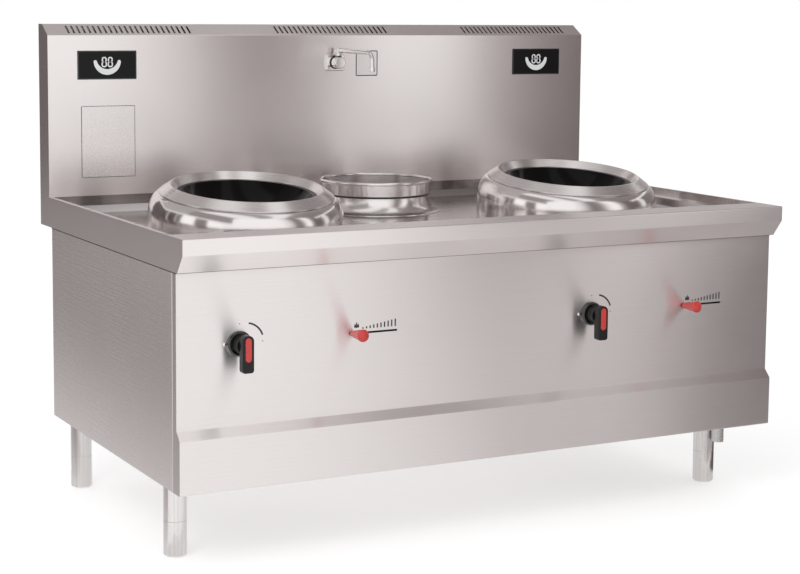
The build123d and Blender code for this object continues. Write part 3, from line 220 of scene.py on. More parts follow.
def stroke(path, half, y, rise=MARK_RISE, closed=False):
    """A raised line on a face towards the cook: at each point of its centre line it reaches its half
    width to both sides, square to the line. An open line ends round: past its ends it runs on by
    the half width's sine, while its own half width shrinks by the cosine."""
    path = np.asarray(path, float)
    half = np.broadcast_to(half, len(path))
    if closed:
        ahead = unit(np.roll(path, -1, axis=0) - np.roll(path, 1, axis=0))
        path, ahead, half = ring(path), ring(ahead), ring(half)
    else:
        ahead = unit(np.gradient(path, axis=0))
        turn = np.radians(np.linspace(0, 90, 6))[1:, None]
        tail = path[-1] + ahead[-1] * half[-1] * np.sin(turn)
        head = path[0] - ahead[0] * half[0] * np.sin(turn[::-1])
        path = np.concatenate([head, path, tail])
        half = np.concatenate([half[0] * np.cos(turn[::-1, 0]), half, half[-1] * np.cos(turn[:, 0])])
        ends = len(turn)
        ahead = np.concatenate([np.repeat(ahead[:1], ends, 0), ahead, np.repeat(ahead[-1:], ends, 0)])
    side = np.stack([-ahead[:, 1], ahead[:, 0]], axis=1) * half[:, None]
    edges = np.stack([path + side, path + side, path - side, path - side, path + side])
    depth = y + np.array([MARK_SUNK, -rise, -rise, MARK_SUNK, MARK_SUNK])
    level = np.broadcast_to(depth[:, None], edges.shape[:2])
    return grid(np.stack([edges[..., 0], level, edges[..., 1]], axis=-1))


SAME_POINT = 2e-6


def piece(name, shapes, material, body="root", replaces=(), sharp=35, sheet=0.0):
    """One mesh piece from shapes laid one after another, that rides on a body. Doubles are merged,
    where that closes the piece its faces are turned outwards, and it is smooth between its folds.
    A sheet gets its thickness behind its outer face, and large faces set the shading of their edges."""
    shapes = shapes if isinstance(shapes, list) else [shapes]
    starts = np.cumsum([0] + [len(shape[0]) for shape in shapes[:-1]])
    points = np.concatenate([shape[0] for shape in shapes])
    faces = np.concatenate([shape[1] + start for shape, start in zip(shapes, starts)])
    pattern = np.concatenate([shape[2] for shape in shapes])
    mesh = bpy.data.meshes.new(name)
    mesh.from_pydata(points.tolist(), [], faces.tolist())
    corners = np.empty(len(mesh.loops), np.int32)
    mesh.loops.foreach_get("vertex_index", corners)
    mesh.uv_layers.new(name="UVMap").data.foreach_set("uv", pattern[corners].ravel())
    work = bmesh.new()
    work.from_mesh(mesh)
    bmesh.ops.remove_doubles(work, verts=work.verts, dist=SAME_POINT)
    if not any(edge.is_boundary for edge in work.edges):
        bmesh.ops.recalc_face_normals(work, faces=work.faces)
    for edge in work.edges:
        edge.smooth = edge.calc_face_angle(math.pi) < math.radians(sharp)
    for face in work.faces:
        face.smooth = True
    work.to_mesh(mesh)
    work.free()
    mesh.materials.append(material)
    made = bpy.data.objects.new(name, mesh)
    bpy.context.collection.objects.link(made)
    if sheet:
        wall = made.modifiers.new("thickness", "SOLIDIFY")
        wall.thickness = sheet
        wall.offset = -1
        wall.use_even_offset = True
    shading = made.modifiers.new("flat_faces", "WEIGHTED_NORMAL")
    shading.keep_sharp = True
    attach(made, body)
    if replaces:
        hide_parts(*replaces)
    return made


# ---------- materials
def feed(node, inputs):
    """A node's inputs: a socket is linked, and anything else is the input's value."""
    for key, value in inputs.items():
        if isinstance(value, bpy.types.NodeSocket):
            node.id_data.links.new(value, node.inputs[key])
        else:
            node.inputs[key].default_value = value


def adder(tree):
    """A short way to add a node to a tree: its kind, its inputs and its settings."""
    def add(kind, inputs=(), **settings):
        node = tree.nodes.new("ShaderNode" + kind)
        for key, value in settings.items():
            setattr(node, key, value)
        feed(node, dict(inputs))
        return node

    return add


def grown(name):
    """A new node material, its shader, and a short way to add a node."""
    material = bpy.data.materials.new(name)
    material.use_nodes = True
    tree = material.node_tree
    return material, tree.nodes["Principled BSDF"], adder(tree)


def worked(add, operation, first, second):
    """Two numbers worked together by a sum or another operation."""
    return add("Math", {0: first, 1: second}, operation=operation).outputs[0]


def ranged(add, value, low, high, start, end):
    """A value's run from low to high, carried onto start to end and held there beyond."""
    return add("MapRange", {"Value": value, "From Min": low, "From Max": high,
                            "To Min": start, "To Max": end}).outputs[0]


def mottled(add, place, tone, spread):
    """A colour that wavers with a pattern, by a spread to both sides of its tone."""
    dark, light = ([min(1, c * (1 + way * spread)) for c in tone] + [1] for way in (-1, 1))
    return add("Mix", {0: place, 6: dark, 7: light}, data_type="RGBA").outputs[2]


NOISE_SPAN = (0.3, 0.7)  # where most of a noise's values lie


def steel(name, tone, rough, grain=(1, 1, 1), spread=0.05, streak=0.03, brushing=0.0,
          bump=0.02, uv=False, cloud=4.0, patch=0.04, painted_shade=None):
    """Worked steel: fine streaks stretched along the grain in its colour and roughness, broad soft
    clouds of handling, and a faint bump. Brushing pulls its reflections across the grain: square to
    a turned piece's own lines, or on a folded sheet along its normal crossed with the grain's way.
    Painted shade darkens the colour to a share, from one place to another towards the splashback."""
    material, shader, add = grown(name)
    coord = add("TexCoord").outputs
    place = coord["Object"]
    lines = add("Mapping", {"Vector": coord["UV"] if uv else place, "Scale": grain}).outputs[0]
    fine = add("TexNoise", {"Vector": lines, "Scale": 1.0, "Detail": 4.0, "Roughness": 0.7}).outputs[0]
    broad = add("TexNoise", {"Vector": place, "Scale": cloud, "Detail": 3.0}).outputs[0]
    patches_and_shade = ranged(add, broad, *NOISE_SPAN, 1 - patch, 1.0)
    # painted shade: the colour darkens along Y towards the splashback, standing in for the shade at the
    # tray's back
    if painted_shade:
        start, end, share = painted_shade
        deep = add("SeparateXYZ", {0: place}).outputs[1]
        patches_and_shade = worked(add, "MULTIPLY", patches_and_shade, ranged(add, deep, start, end, 1.0, share))
    tint = add("VectorMath", {0: mottled(add, fine, tone, spread), "Scale": patches_and_shade}, operation="SCALE")
    gloss = ranged(add, fine, *NOISE_SPAN, rough - streak, rough + streak)
    handled = ranged(add, broad, 0.35, 0.75, 0.0, streak)
    relief = add("Bump", {"Height": fine, "Strength": bump, "Distance": 0.001})
    feed(shader, {"Base Color": tint.outputs[0], "Roughness": worked(add, "ADD", gloss, handled),
                  "Metallic": 1.0, "Normal": relief.outputs[0]})
    if brushing and uv:
        way = add("Tangent", direction_type="UV_MAP", uv_map="UVMap")
        feed(shader, {"Anisotropic": brushing, "Anisotropic Rotation": 0.25, "Tangent": way.outputs[0]})
    elif brushing:
        normal = add("NewGeometry").outputs["Normal"]
        way = add("VectorMath", {0: normal, 1: (1, 0.05, 0)}, operation="CROSS_PRODUCT")
        feed(shader, {"Anisotropic": brushing, "Tangent": way.outputs[0]})
    return material


def plain(name, tone, rough, shine=0.5, coat=0.0, grain=300.0, bump=0.05, spread=0.08):
    """A moulded, painted or rubber finish: a fine pebbled bump, slight mottling and rubbed patches."""
    material, shader, add = grown(name)
    place = add("TexCoord").outputs["Object"]
    fine = add("TexNoise", {"Vector": place, "Scale": grain, "Detail": 3.0}).outputs[0]
    broad = add("TexNoise", {"Vector": place, "Scale": 12.0, "Detail": 4.0}).outputs[0]
    gloss = ranged(add, broad, *NOISE_SPAN, rough * 0.85, min(1, rough * 1.15))
    relief = add("Bump", {"Height": fine, "Strength": bump, "Distance": 0.0005})
    feed(shader, {"Base Color": mottled(add, broad, tone, spread), "Roughness": gloss,
                  "Normal": relief.outputs[0], "Specular IOR Level": shine, "Coat Weight": coat})
    return material


WARM = (0.83, 0.785, 0.775)
POLISHED = (0.80, 0.765, 0.755)
panel_steel = steel("panel_steel", WARM, 0.32, grain=(7, 420, 420), brushing=1.0, spread=0.065, cloud=6.0)
splash_steel = steel("splash_steel", WARM, 0.25, grain=(3, 900, 900), brushing=0.8, bump=0.004,
                     spread=0.03, streak=0.012)
side_steel = steel("side_steel", WARM, 0.27, grain=(900, 4, 900), brushing=0.8, streak=0.006,
                   bump=0.001, spread=0.015)
top_steel = steel("top_steel", WARM, 0.35, grain=(6, 500, 500), brushing=0.75, bump=0.010)
# the tray's steel gets painted shade: from 0.36 to 0.46 along Y it darkens to 0.52 of its tone, towards the
# splashback
tray_steel = steel("tray_steel", (0.74, 0.70, 0.69), 0.13, grain=(4, 700, 700), brushing=0.4,
                   streak=0.02, bump=0.006, painted_shade=(0.36, 0.46, 0.52))
tube_steel = steel("tube_steel", (0.52, 0.51, 0.50), 0.35, grain=(60, 60, 60))
leg_steel = steel("leg_steel", (0.75, 0.725, 0.715), 0.20, grain=(130, 130, 2), spread=0.28, streak=0.07)
bright_steel = steel("bright_steel", POLISHED, 0.15, grain=(4, 900, 1), uv=True, brushing=0.75,
                     streak=0.02, spread=0.03)
satin_steel = steel("satin_steel", (0.78, 0.745, 0.735), 0.26, grain=(6, 1600, 1), uv=True,
                    brushing=0.75, streak=0.05)
pot_steel = steel("pot_steel", POLISHED, 0.19, grain=(4, 1200, 1), uv=True, brushing=0.85, streak=0.03)
chrome = steel("chrome", (0.80, 0.775, 0.765), 0.07, grain=(90, 90, 90), spread=0.02, streak=0.02)
pipe_steel = steel("pipe_steel", (0.62, 0.61, 0.60), 0.25, grain=(300, 300, 300))
label_metal = steel("label_metal", (0.85, 0.805, 0.795), 0.27, grain=(200, 400, 400), brushing=0.8,
                    streak=0.01, bump=0.004, spread=0.025)
film_metal = steel("film_metal", (0.74, 0.71, 0.70), 0.22, grain=(200, 200, 200), streak=0.02)
fin_metal = steel("fin_metal", (0.50, 0.50, 0.51), 0.45, grain=(50, 900, 900))
copper = steel("copper", (0.70, 0.33, 0.19), 0.35, grain=(1500, 1500, 40))
black_glass = plain("black_glass", (0.004, 0.003, 0.003), 0.06, shine=0.10, bump=0.004, grain=40)
display_black = plain("display_black", (0.008, 0.007, 0.007), 0.22, shine=0.16, bump=0.004, grain=60)
gloss_black = plain("gloss_black", (0.010, 0.010, 0.010), 0.16, coat=0.5, bump=0.03, grain=500)
handle_black = plain("handle_black", (0.009, 0.008, 0.008), 0.30, shine=0.28, bump=0.08, grain=900)
# black for the model's rubber seals, also used for the painted shadow strip and rings
seal_and_shade_black = plain("seal_and_shade_black", (0.03, 0.03, 0.03), 0.7)
carrier_black = plain("carrier_black", (0.025, 0.025, 0.025), 0.5)
board_green = plain("board_green", (0.02, 0.12, 0.05), 0.4)
signal_red = plain("signal_red", (0.62, 0.03, 0.025), 0.25, coat=0.3, bump=0.05, grain=700)
box_paint = plain("box_paint", (0.45, 0.45, 0.44), 0.45)
ink_black = plain("ink_black", (0.02, 0.02, 0.022), 0.45, bump=0.02)
digit_white = plain("digit_white", (0.85, 0.87, 0.88), 0.35, bump=0.01, spread=0.03)

FINISHES = {
    "frame_tube": tube_steel,
    "brushed_panel": panel_steel,
    "brushed_top": top_steel,
    "leg_steel": leg_steel,
    "polished_steel": chrome,
    "satin_ring": chrome,
    "black_glass": black_glass,
    "display_glass": display_black,
    "seal_rubber": seal_and_shade_black,
    "coil_copper": copper,
    "carrier_plastic": carrier_black,
    "board_green": board_green,
    "plate_metal": label_metal,
    "plate_film": film_metal,
    "tap_chrome": chrome,
    "pipe_steel": pipe_steel,
    "black_plastic": handle_black,
    "red_plastic": signal_red,
    "stem_steel": chrome,
    "module_aluminium": fin_metal,
    "box_paint": box_paint,
}
BY_NODE = {
    "side_panel_left": side_steel,
    "side_panel_right": side_steel,
    "splashback": splash_steel,
    "worktop_tray": tray_steel,
}
for row in frame["record"]["subparts"]:
    finish = BY_NODE.get(row["node"], FINISHES[row["material_slot"]])
    for socket in nodes[row["node"]].material_slots:
        socket.material = finish

# ---------- front panel
OPENING_STEPS = 14
LEVER_SLOT = (-0.0055, 0.1255)  # the middles of a slot's round ends, from its lever's rest
SLOT_HALF = 0.0025
NECK = 0.0203
CORNER = 0.002
CONTROL_BAND = 0.045  # from the controls' height to the rows above and below it
FACE_COLUMNS = 31


def opening_half(x):
    """Half the height of the front panel's openings at each x: half chords of the isolators' round
    holes, and of the slots' round ends, whose distance past the end's middle is nought between."""
    half = [np.sqrt(np.clip(NECK**2 - (x - middle)**2, 0, None)) for middle in ISOLATOR_XS]
    for rest in LEVER_XS:
        past = np.maximum(np.maximum(rest + LEVER_SLOT[0] - x, x - rest - LEVER_SLOT[1]), 0)
        half.append(np.sqrt(np.clip(SLOT_HALF**2 - past**2, 0, None)))
    return np.max(half, axis=0)


def front_panel():
    """The folded front sheet: its rows follow the upright section with round folds, and its columns
    run from the left return round the corner, across the face and round to the right return. Two
    rows part at the controls' height by the openings' half height, and the faces between go."""
    fold = rounded([(PANEL_FACE, RIM_BOTTOM), (PANEL_FACE, BEVEL_TOP), (KICK_FACE, BEVEL_BOTTOM),
                    (KICK_FACE, BODY_BOTTOM), (RETURN_BACK, BODY_BOTTOM)], FOLD)
    level = [(PANEL_FACE, CONTROL_HEIGHT + step) for step in (CONTROL_BAND, 0, 0, -CONTROL_BAND)]
    section = np.concatenate([fold[:1], level, fold[1:]])
    swing = np.cos(np.linspace(math.pi, 0, OPENING_STEPS + 1))
    holes = [middle + NECK * swing for middle in ISOLATOR_XS]
    ends = [rest + end + SLOT_HALF * swing for rest in LEVER_XS for end in LEVER_SLOT]
    even = np.linspace(-HALF_BODY + CORNER, HALF_BODY - CORNER, FACE_COLUMNS)
    face = np.unique(np.round(np.concatenate(holes + ends + [even]), 6))
    turn = np.radians(np.linspace(0, 90, 6))[:-1]
    y, z = section[:, :1], section[:, 1:]
    bend = np.minimum(CORNER, RETURN_BACK - y)
    side_x = HALF_BODY - bend * (1 - np.cos(turn))
    side_y = y + bend * (1 - np.sin(turn))
    back = np.full_like(y, RETURN_BACK)
    edge = np.full_like(y, HALF_BODY)
    flat_x, flat_y = np.broadcast_arrays(face, y)
    x = np.concatenate([-edge, -side_x, flat_x, side_x[:, ::-1], edge], axis=1)
    depth = np.concatenate([back, side_y, flat_y, side_y[:, ::-1], back], axis=1)
    height = np.broadcast_to(z, x.shape).copy()
    height[2] += opening_half(x[2])
    height[3] -= opening_half(x[3])
    keep = np.ones((len(y) - 1, x.shape[1] - 1), bool)
    keep[2] = False
    piece("front_panel_sheet", grid(np.stack([x, depth, height], -1), keep=keep, flip=True), panel_steel,
          replaces=["front_panel"], sheet=PANEL_SHEET)


def worktop_rim():
    """The rim round the worktop as one sheet: each row stands at a height, set in from the front and
    from the sides by the two sections' own steps, and runs from the left back round both front
    corners, which are small arcs, to the right back. The first row pair is the flat front top alone,
    so its runs along the sides go."""
    flat, lip = 0.100, 0.050
    fold = rounded([(flat, RIM_TOP), (0, RIM_TOP), (0, RIM_SLOPE_TOP), (RIM_SLOPE_INSET, RIM_BOTTOM),
                    (lip, RIM_BOTTOM)], FOLD)
    inset, height = fold.T
    side_in = np.where(height > RIM_TOP - FOLD, TOP_SHEET * np.clip(inset / FOLD, 0, 1),
                       np.where(height < RIM_BOTTOM + 1e-6, TOP_SHEET, 0))
    rows = []
    for front_in, edge_in, z in zip(inset, side_in, height):
        x, y = HALF_WIDTH - edge_in, RIM_FRONT + front_in
        rows.append(rounded([(-x, RIM_BACK, z), (-x, y, z), (x, y, z), (x, RIM_BACK, z)], CORNER, 4))
    keep = np.ones((len(rows) - 1, len(rows[0]) - 1), bool)
    keep[0, [0, -1]] = False
    piece("worktop_rim_sheet", grid(np.stack(rows), keep=keep, flip=True), top_steel,
          replaces=["front_rim", "side_rim_left", "side_rim_right"], sheet=TOP_SHEET)


# the height of the dark strip under the rim, a painted shadow
SHADOW_STRIP_HEIGHT = 0.003


def rim_painted_shadow():
    """Painted shadow under the rim: a slim dark upright band that stands just proud of the front and
    side panels, and runs from the left back round both front corners to the right back."""
    proud = 0.0006
    low, high = RIM_BOTTOM - SHADOW_STRIP_HEIGHT, RIM_BOTTOM
    rows = []
    for out, z in ((-proud, low), (proud, low), (proud, high), (-proud, high), (-proud, low)):
        x, y = HALF_BODY + out, PANEL_FACE - out
        rows.append(rounded([(-x, BODY_BACK, z), (-x, y, z), (x, y, z), (x, BODY_BACK, z)], CORNER, 4))
    rows = np.stack(rows)
    ends = [np.broadcast_to(rows[:-1, k].mean(axis=0), rows[:, :1].shape) for k in (0, -1)]
    piece("rim_painted_shadow_strip", grid(np.concatenate([ends[0], rows, ends[1]], axis=1)), seal_and_shade_black)


def corner_seams():
    """The polished seams where the front panel's returns meet the side panels: upright bars of an
    ellipse's outline, half sunk, from the body's bottom to the dark painted-shadow strip under the rim."""
    angle = np.linspace(0, TURN, 25)[:-1]
    outline = np.stack([0.0008 * np.cos(angle), 0.0013 * np.sin(angle)], 1)
    ends = np.array([BODY_BOTTOM + 0.001, RIM_BOTTOM - SHADOW_STRIP_HEIGHT - 0.0002])
    seams = [lofted([outline, outline], ends, origin=(sign * HALF_BODY, RETURN_BACK + 0.0005, 0),
                    up=(0, 1, 0)) for _, sign in SIDES]
    piece("corner_seams", seams, chrome)


front_panel()
worktop_rim()
rim_painted_shadow()
corner_seams()

# ---------- legs and feet
LEG_RADIUS = 0.030
LEG_INNER = 0.028
LEG_SEAM = 0.092
PLATE_BOTTOM = 0.2055
PLATE_THICK = 0.004
PLATE_HALF = 0.035
SLEEVE = 0.02795  # the foot's sleeve, inside its leg
SLEEVE_BORE = 0.024
SLEEVE_TOP = 0.172
SLEEVE_FLOOR = 0.018
LEG_X = HALF_WIDTH - 0.070
LEG_ROWS = (("front", RIM_FRONT + 0.236), ("rear", BODY_BACK - 0.036))


def leg(x, y):
    """One leg: a tube with slightly rounded ends, as a closed loop turned upright, and its plate."""
    wall = hoop(LEG_INNER, LEG_RADIUS, LEG_SEAM, PLATE_BOTTOM, 0.0007)
    plate = loop(PLATE_HALF * np.array([(-1, -1), (1, -1), (1, 1), (-1, 1)]), 0.004)
    return [turned(wall, (x, y, 0), UP, around=96),
            slab(plate, PLATE_BOTTOM, PLATE_BOTTOM + PLATE_THICK, 0.0006, origin=(x, y, 0), up=(0, 1, 0))]


def foot(name, body, x, y):
    """A foot that screws up into its leg: a turned profile with a chamfered end and a sleeve."""
    profile = rounded([(0, 0), (LEG_RADIUS - 0.004, 0), (LEG_RADIUS, 0.004), (LEG_RADIUS, LEG_SEAM),
                       (SLEEVE, LEG_SEAM), (SLEEVE, SLEEVE_TOP), (SLEEVE_BORE, SLEEVE_TOP),
                       (SLEEVE_BORE, SLEEVE_FLOOR), (0, SLEEVE_FLOOR)],
                      [0.0012, 0.0012, 0.0007, 0.0003, 0.0006, 0.0006, 0.002], 3)
    piece(name, turned(profile, (x, y, 0), UP, around=96), leg_steel, body=body,
          replaces=[body.removesuffix("_unit")])


legs = []
for row, y in LEG_ROWS:
    for side, sign in SIDES:
        legs += leg(sign * LEG_X, y)
        foot(f"foot_turned_{row}_{side}", f"foot_{row}_{side}_unit", sign * LEG_X, y)
piece("leg_tubes", legs, leg_steel, replaces=["legs"])

# ---------- wok wells
WELL_AXIS = (0, -math.sin(TILT), math.cos(TILT))
BULGE = (0.232, -0.082)
BULGE_WIDTH = 0.032
BULGE_HEIGHT = 0.0585
BASE_RADIUS = 0.264
SEAT = 0.0235
RING_BOTTOM = -0.0320
BOWL_SPHERE = 0.2105184
SPHERE_HEIGHT = 0.0950184
GLASS = 0.006


def tilted(x, local):
    """Points given across, up the slope and along a well's axis, moved into the range's frame."""
    slope = np.array([0, math.cos(TILT), math.sin(TILT)])
    axes = np.stack([(1, 0, 0), slope, WELL_AXIS])
    return np.array([x, WELL_Y, LIP_HEIGHT]) + local @ axes


def base_ring(side, x):
    """The bulging base ring: a quarter ellipse turned about the tilted axis, then straight down to
    the worktop. At each angle the last height is the tray floor's height less the part that the
    tilt takes, divided by the tilt's cosine, so the foot lies flat on the worktop."""
    quarter = np.radians(np.linspace(90, 0, 25))
    r = np.concatenate([[0.2215, 0.2265], BULGE[0] + BULGE_WIDTH * np.cos(quarter)])
    h = np.concatenate([[-SEAT, -SEAT], BULGE[1] + BULGE_HEIGHT * np.sin(quarter)])
    angle = np.linspace(0, TURN, 193)
    foot_height = (TRAY_FLOOR - LIP_HEIGHT - BASE_RADIUS * np.sin(angle) * math.sin(TILT)) / math.cos(TILT)
    fall = np.linspace(0, 1, 9)[1:, None]
    heights = np.concatenate([np.repeat(h[:, None], len(angle), 1), h[-1] + fall * (foot_height - h[-1])])
    radii = np.concatenate([r, np.full(8, BASE_RADIUS)])[:, None]
    local = np.stack(np.broadcast_arrays(radii * np.cos(angle), radii * np.sin(angle), heights), -1)
    piece(f"well_base_shell_{side}", grid(tilted(x, local), flip=True), bright_steel,
          replaces=[f"well_base_{side}"], sheet=TOP_SHEET)


def seat_ring(side, x):
    """The conical ring: its section is a closed loop with rounded folds, turned about the well's axis."""
    section = rounded([
        (0.1805, -0.0290), (0.1893, -0.0290), (0.1893, -0.0200), (0.2035, 0.0), (0.2075, 0.0),
        (0.2360, -0.0200), (0.2360, -0.0235), (0.2330, -0.0235), (0.2330, -0.0215), (0.2055, -0.0060),
        (0.1923, -0.0215), (0.1923, RING_BOTTOM), (0.1805, RING_BOTTOM), (0.1805, -0.0290),
    ], [0.0004, 0.002, 0.0018, 0.0018, 0.0015, 0.0006, 0.0006, 0.0006, 0.002, 0.002, 0.001, 0.0006])
    turn = turned(section, (x, WELL_Y, LIP_HEIGHT), WELL_AXIS, around=192)
    piece(f"seat_ring_turned_{side}", turn, satin_steel, replaces=[f"seat_ring_{side}"])


def glass_bowl(side, x):
    """The concave glass: a sphere's cap with a flat flange, closed below by a larger sphere's cap."""
    def cap(sphere, edge, steps):
        r = np.linspace(0, edge, steps)
        return np.stack([r, SPHERE_HEIGHT - np.sqrt(sphere**2 - r**2)], 1)

    inside = cap(BOWL_SPHERE, 0.1755, 40)
    flange = rounded([(0.176, -0.0205), (0.189, -0.0205), (0.189, -0.027), (0.179, -0.027)], 0.0012)
    outside = cap(BOWL_SPHERE + GLASS, 0.1785, 30)[::-1]
    bowl = turned(np.concatenate([inside, flange, outside]), (x, WELL_Y, LIP_HEIGHT), WELL_AXIS, around=160)
    piece(f"glass_bowl_turned_{side}", bowl, black_glass, replaces=[f"glass_bowl_{side}"],
          sharp=50)


for side, sign in SIDES:
    base_ring(side, sign * WELL_X)
    seat_ring(side, sign * WELL_X)
    glass_bowl(side, sign * WELL_X)

# ---------- soup pot and collar
SHOULDER = 0.841
POT_SHEET = 0.0015
POT_RADIUS = 0.143
POT_BOTTOM = 0.640
BAND_RADIUS = 0.1575
NECK_RADIUS = 0.150
FLARE = 0.036
POT_PLACE = (0, POT_Y, 0)


def soup_pot():
    """The pot: a straight body with a round bottom corner, a shoulder that sits on the collar, a
    plain wider band and a rolled rim, as one thin closed section turned upright."""
    outer = rounded([(0, POT_BOTTOM), (POT_RADIUS, POT_BOTTOM), (POT_RADIUS, SHOULDER),
                     (BAND_RADIUS, SHOULDER), (BAND_RADIUS, 0.8735)], [0.014, 0.002, 0.002])
    roll = arc((BAND_RADIUS + 0.003, 0.8778), 0.0052, 215, -145, 20)
    band, wall = BAND_RADIUS - POT_SHEET, POT_RADIUS - POT_SHEET
    shelf, bottom = SHOULDER + POT_SHEET, POT_BOTTOM + POT_SHEET
    inner = rounded([(band, 0.8748), (band, shelf), (wall, shelf), (wall, bottom), (0, bottom)],
                    [0.002, 0.003, 0.0125])
    pot = turned(np.concatenate([outer, roll, inner]), POT_PLACE, UP, around=160)
    piece("soup_pot_turned", pot, pot_steel, body="pot_unit", replaces=["soup_pot"])


def pot_collar():
    """The flared collar: a quarter ellipse from the neck out to a flat flange, as a thin closed loop."""
    top = SHOULDER - 0.0003
    rise, reach = top - TRAY_FLOOR, NECK_RADIUS + FLARE
    quarter = np.radians(np.linspace(180, 270, 25))
    outer = np.stack([reach + FLARE * np.cos(quarter), top + (rise - POT_SHEET) * np.sin(quarter)], 1)
    inner = np.stack([reach + (FLARE + POT_SHEET) * np.cos(quarter), top + rise * np.sin(quarter)], 1)
    edge = [(reach + 0.004, TRAY_FLOOR + POT_SHEET), (reach + 0.004, TRAY_FLOOR)]
    section = ring(np.concatenate([outer, edge, inner[::-1]]))
    piece("pot_collar_turned", turned(section, POT_PLACE, UP, around=160), pot_steel,
          replaces=["pot_collar"])


def pot_shoulder_shadow():
    """Painted shadow under the pot's shoulder: a dark round-edged band that hugs the collar's neck."""
    shade_band = hoop(NECK_RADIUS + 0.0005, NECK_RADIUS + 0.0050, SHOULDER - 0.0052, SHOULDER - 0.0006, 0.0012, 4)
    piece("pot_shoulder_painted_shadow", turned(shade_band, POT_PLACE, UP, around=160), seal_and_shade_black)


soup_pot()
pot_collar()
pot_shoulder_shadow()

# ---------- swing tap
TAP_HEIGHT = SPLASH_TOP - 0.114
TAP_Y = SPLASH_FACE - 0.027
POST_TOP = TAP_HEIGHT + 0.029
SPOUT_HEIGHT = TAP_HEIGHT + 0.037
SPOUT_END = SPOUT_HEIGHT - 0.052
SPOUT_Y = SPLASH_FACE - 0.250
VALVE_PLACE = (0, SPLASH_FACE, TAP_HEIGHT)
VALVE_RADIUS = 0.018
POST_RADIUS = 0.009


def tap_body():
    """The tap's plate with its rounded edge, its valve turned about the way out of the splashback,
    and its upright post."""
    plate = upright(0.030, -0.025, 0.025, 0.006, 6)
    reach, tall = 0.044, POST_TOP - TAP_HEIGHT
    valve = rounded([(0, -0.012), (0.010, -0.012), (0.010, 0.0), (VALVE_RADIUS, 0.0),
                     (VALVE_RADIUS, reach), (0, reach)], [0.0005, 0.0005, 0.0005, 0.003])
    post = rounded([(0, 0), (POST_RADIUS, 0), (POST_RADIUS, tall), (0, tall)], [0.0005, 0.0008])
    shapes = [slab(plate, 0, 0.010, 0.0025, origin=VALVE_PLACE), turned(valve, VALVE_PLACE, OUT, around=64),
              turned(post, (0, TAP_Y, TAP_HEIGHT), UP, around=48)]
    piece("tap_valve_body", shapes, chrome, replaces=["tap_body"])


def spout():
    """The swing spout: a round bar out from the collar and down in one bend, the collar, and the
    mouth, a thicker ring round the bar's end."""
    path = rounded([(0, TAP_Y, SPOUT_HEIGHT), (0, SPOUT_Y, SPOUT_HEIGHT), (0, SPOUT_Y, SPOUT_END)],
                   0.028, 14)
    low, high = POST_TOP + 0.0003, SPOUT_HEIGHT + 0.008
    collar = rounded([(0, low), (0.011, low), (0.011, high), (0, high)], [0.0006, 0.003])
    shapes = [tube(path, 0.007), turned(collar, (0, TAP_Y, 0), UP, around=48)]
    piece("swing_spout", shapes, chrome, body="spout_unit", replaces=["spout"])
    low, high = SPOUT_END - 0.004, SPOUT_END + 0.010
    mouth = loop([(0.0055, low), (0.009, low), (0.009, high), (0.0071, high), (0.0071, SPOUT_END),
                  (0.0055, SPOUT_END)], [0.0004, 0.001, 0.0008, 0.0003, 0.0003, 0.0003], 3)
    piece("spout_mouth", turned(ring(mouth), (0, SPOUT_Y, 0), UP, around=48), chrome, body="spout_unit",
          replaces=["spout_nozzle"])


def tap_shadow_rings():
    """Two black rings of painted shade in the tap's creases: one round the valve where it meets its plate,
    one round the post's foot.
    """
    valve = hoop(VALVE_RADIUS + 0.0002, VALVE_RADIUS + 0.0016, 0.0100, 0.0145, 0.0006)
    post = hoop(POST_RADIUS + 0.0002, POST_RADIUS + 0.0016, 0.0180, 0.0215, 0.0006)
    piece("tap_shadow_rings", [turned(valve, VALVE_PLACE, OUT, around=64),
                        turned(post, (0, TAP_Y, TAP_HEIGHT), UP, around=48)], seal_and_shade_black)


tap_body()
spout()
tap_shadow_rings()

# ---------- isolator switches
FLANGE = 0.012
FLANGE_RADIUS = 0.0315
BEAD_LEVEL = 0.0092
HUB = 0.027
HUB_RADIUS = 0.022
GRIP = 0.024
GRIP_EDGE = 0.003
RECESS = 0.0012
RECESS_HALF = 0.0085
INSERT_LOW = -0.037
INSERT_HIGH = 0.023
GRIP_SIDES = 0.015
GRIP_LOW = -0.064
GRIP_HIGH = 0.028
STUD_REACH = 0.037


def isolator_flange(x):
    """The round flange, turned about the way out of the panel, with a raised bead round its edge and
    a neck behind, and the switch's box behind the panel."""
    neck, rim, step = NECK - 0.0003, FLANGE_RADIUS, 0.0232
    bead = arc((0.0268, BEAD_LEVEL), 0.0028, 35, 145, 10)
    profile = np.concatenate([
        [(0, -0.002), (neck, -0.002), (neck, 0), (rim - 0.0004, 0), (rim, 0.0004)],
        [(rim, BEAD_LEVEL - 0.0006)], bead,
        [(step + 0.0004, BEAD_LEVEL), (step, BEAD_LEVEL), (step, 0.0117), (0, 0.0117)]])
    box = upright(0.030, -0.030, 0.030, 0.004)
    face = (x, PANEL_FACE, CONTROL_HEIGHT)
    return [turned(profile, face, OUT, around=96), slab(box, -0.0715, -0.0015, 0.001, origin=face)]


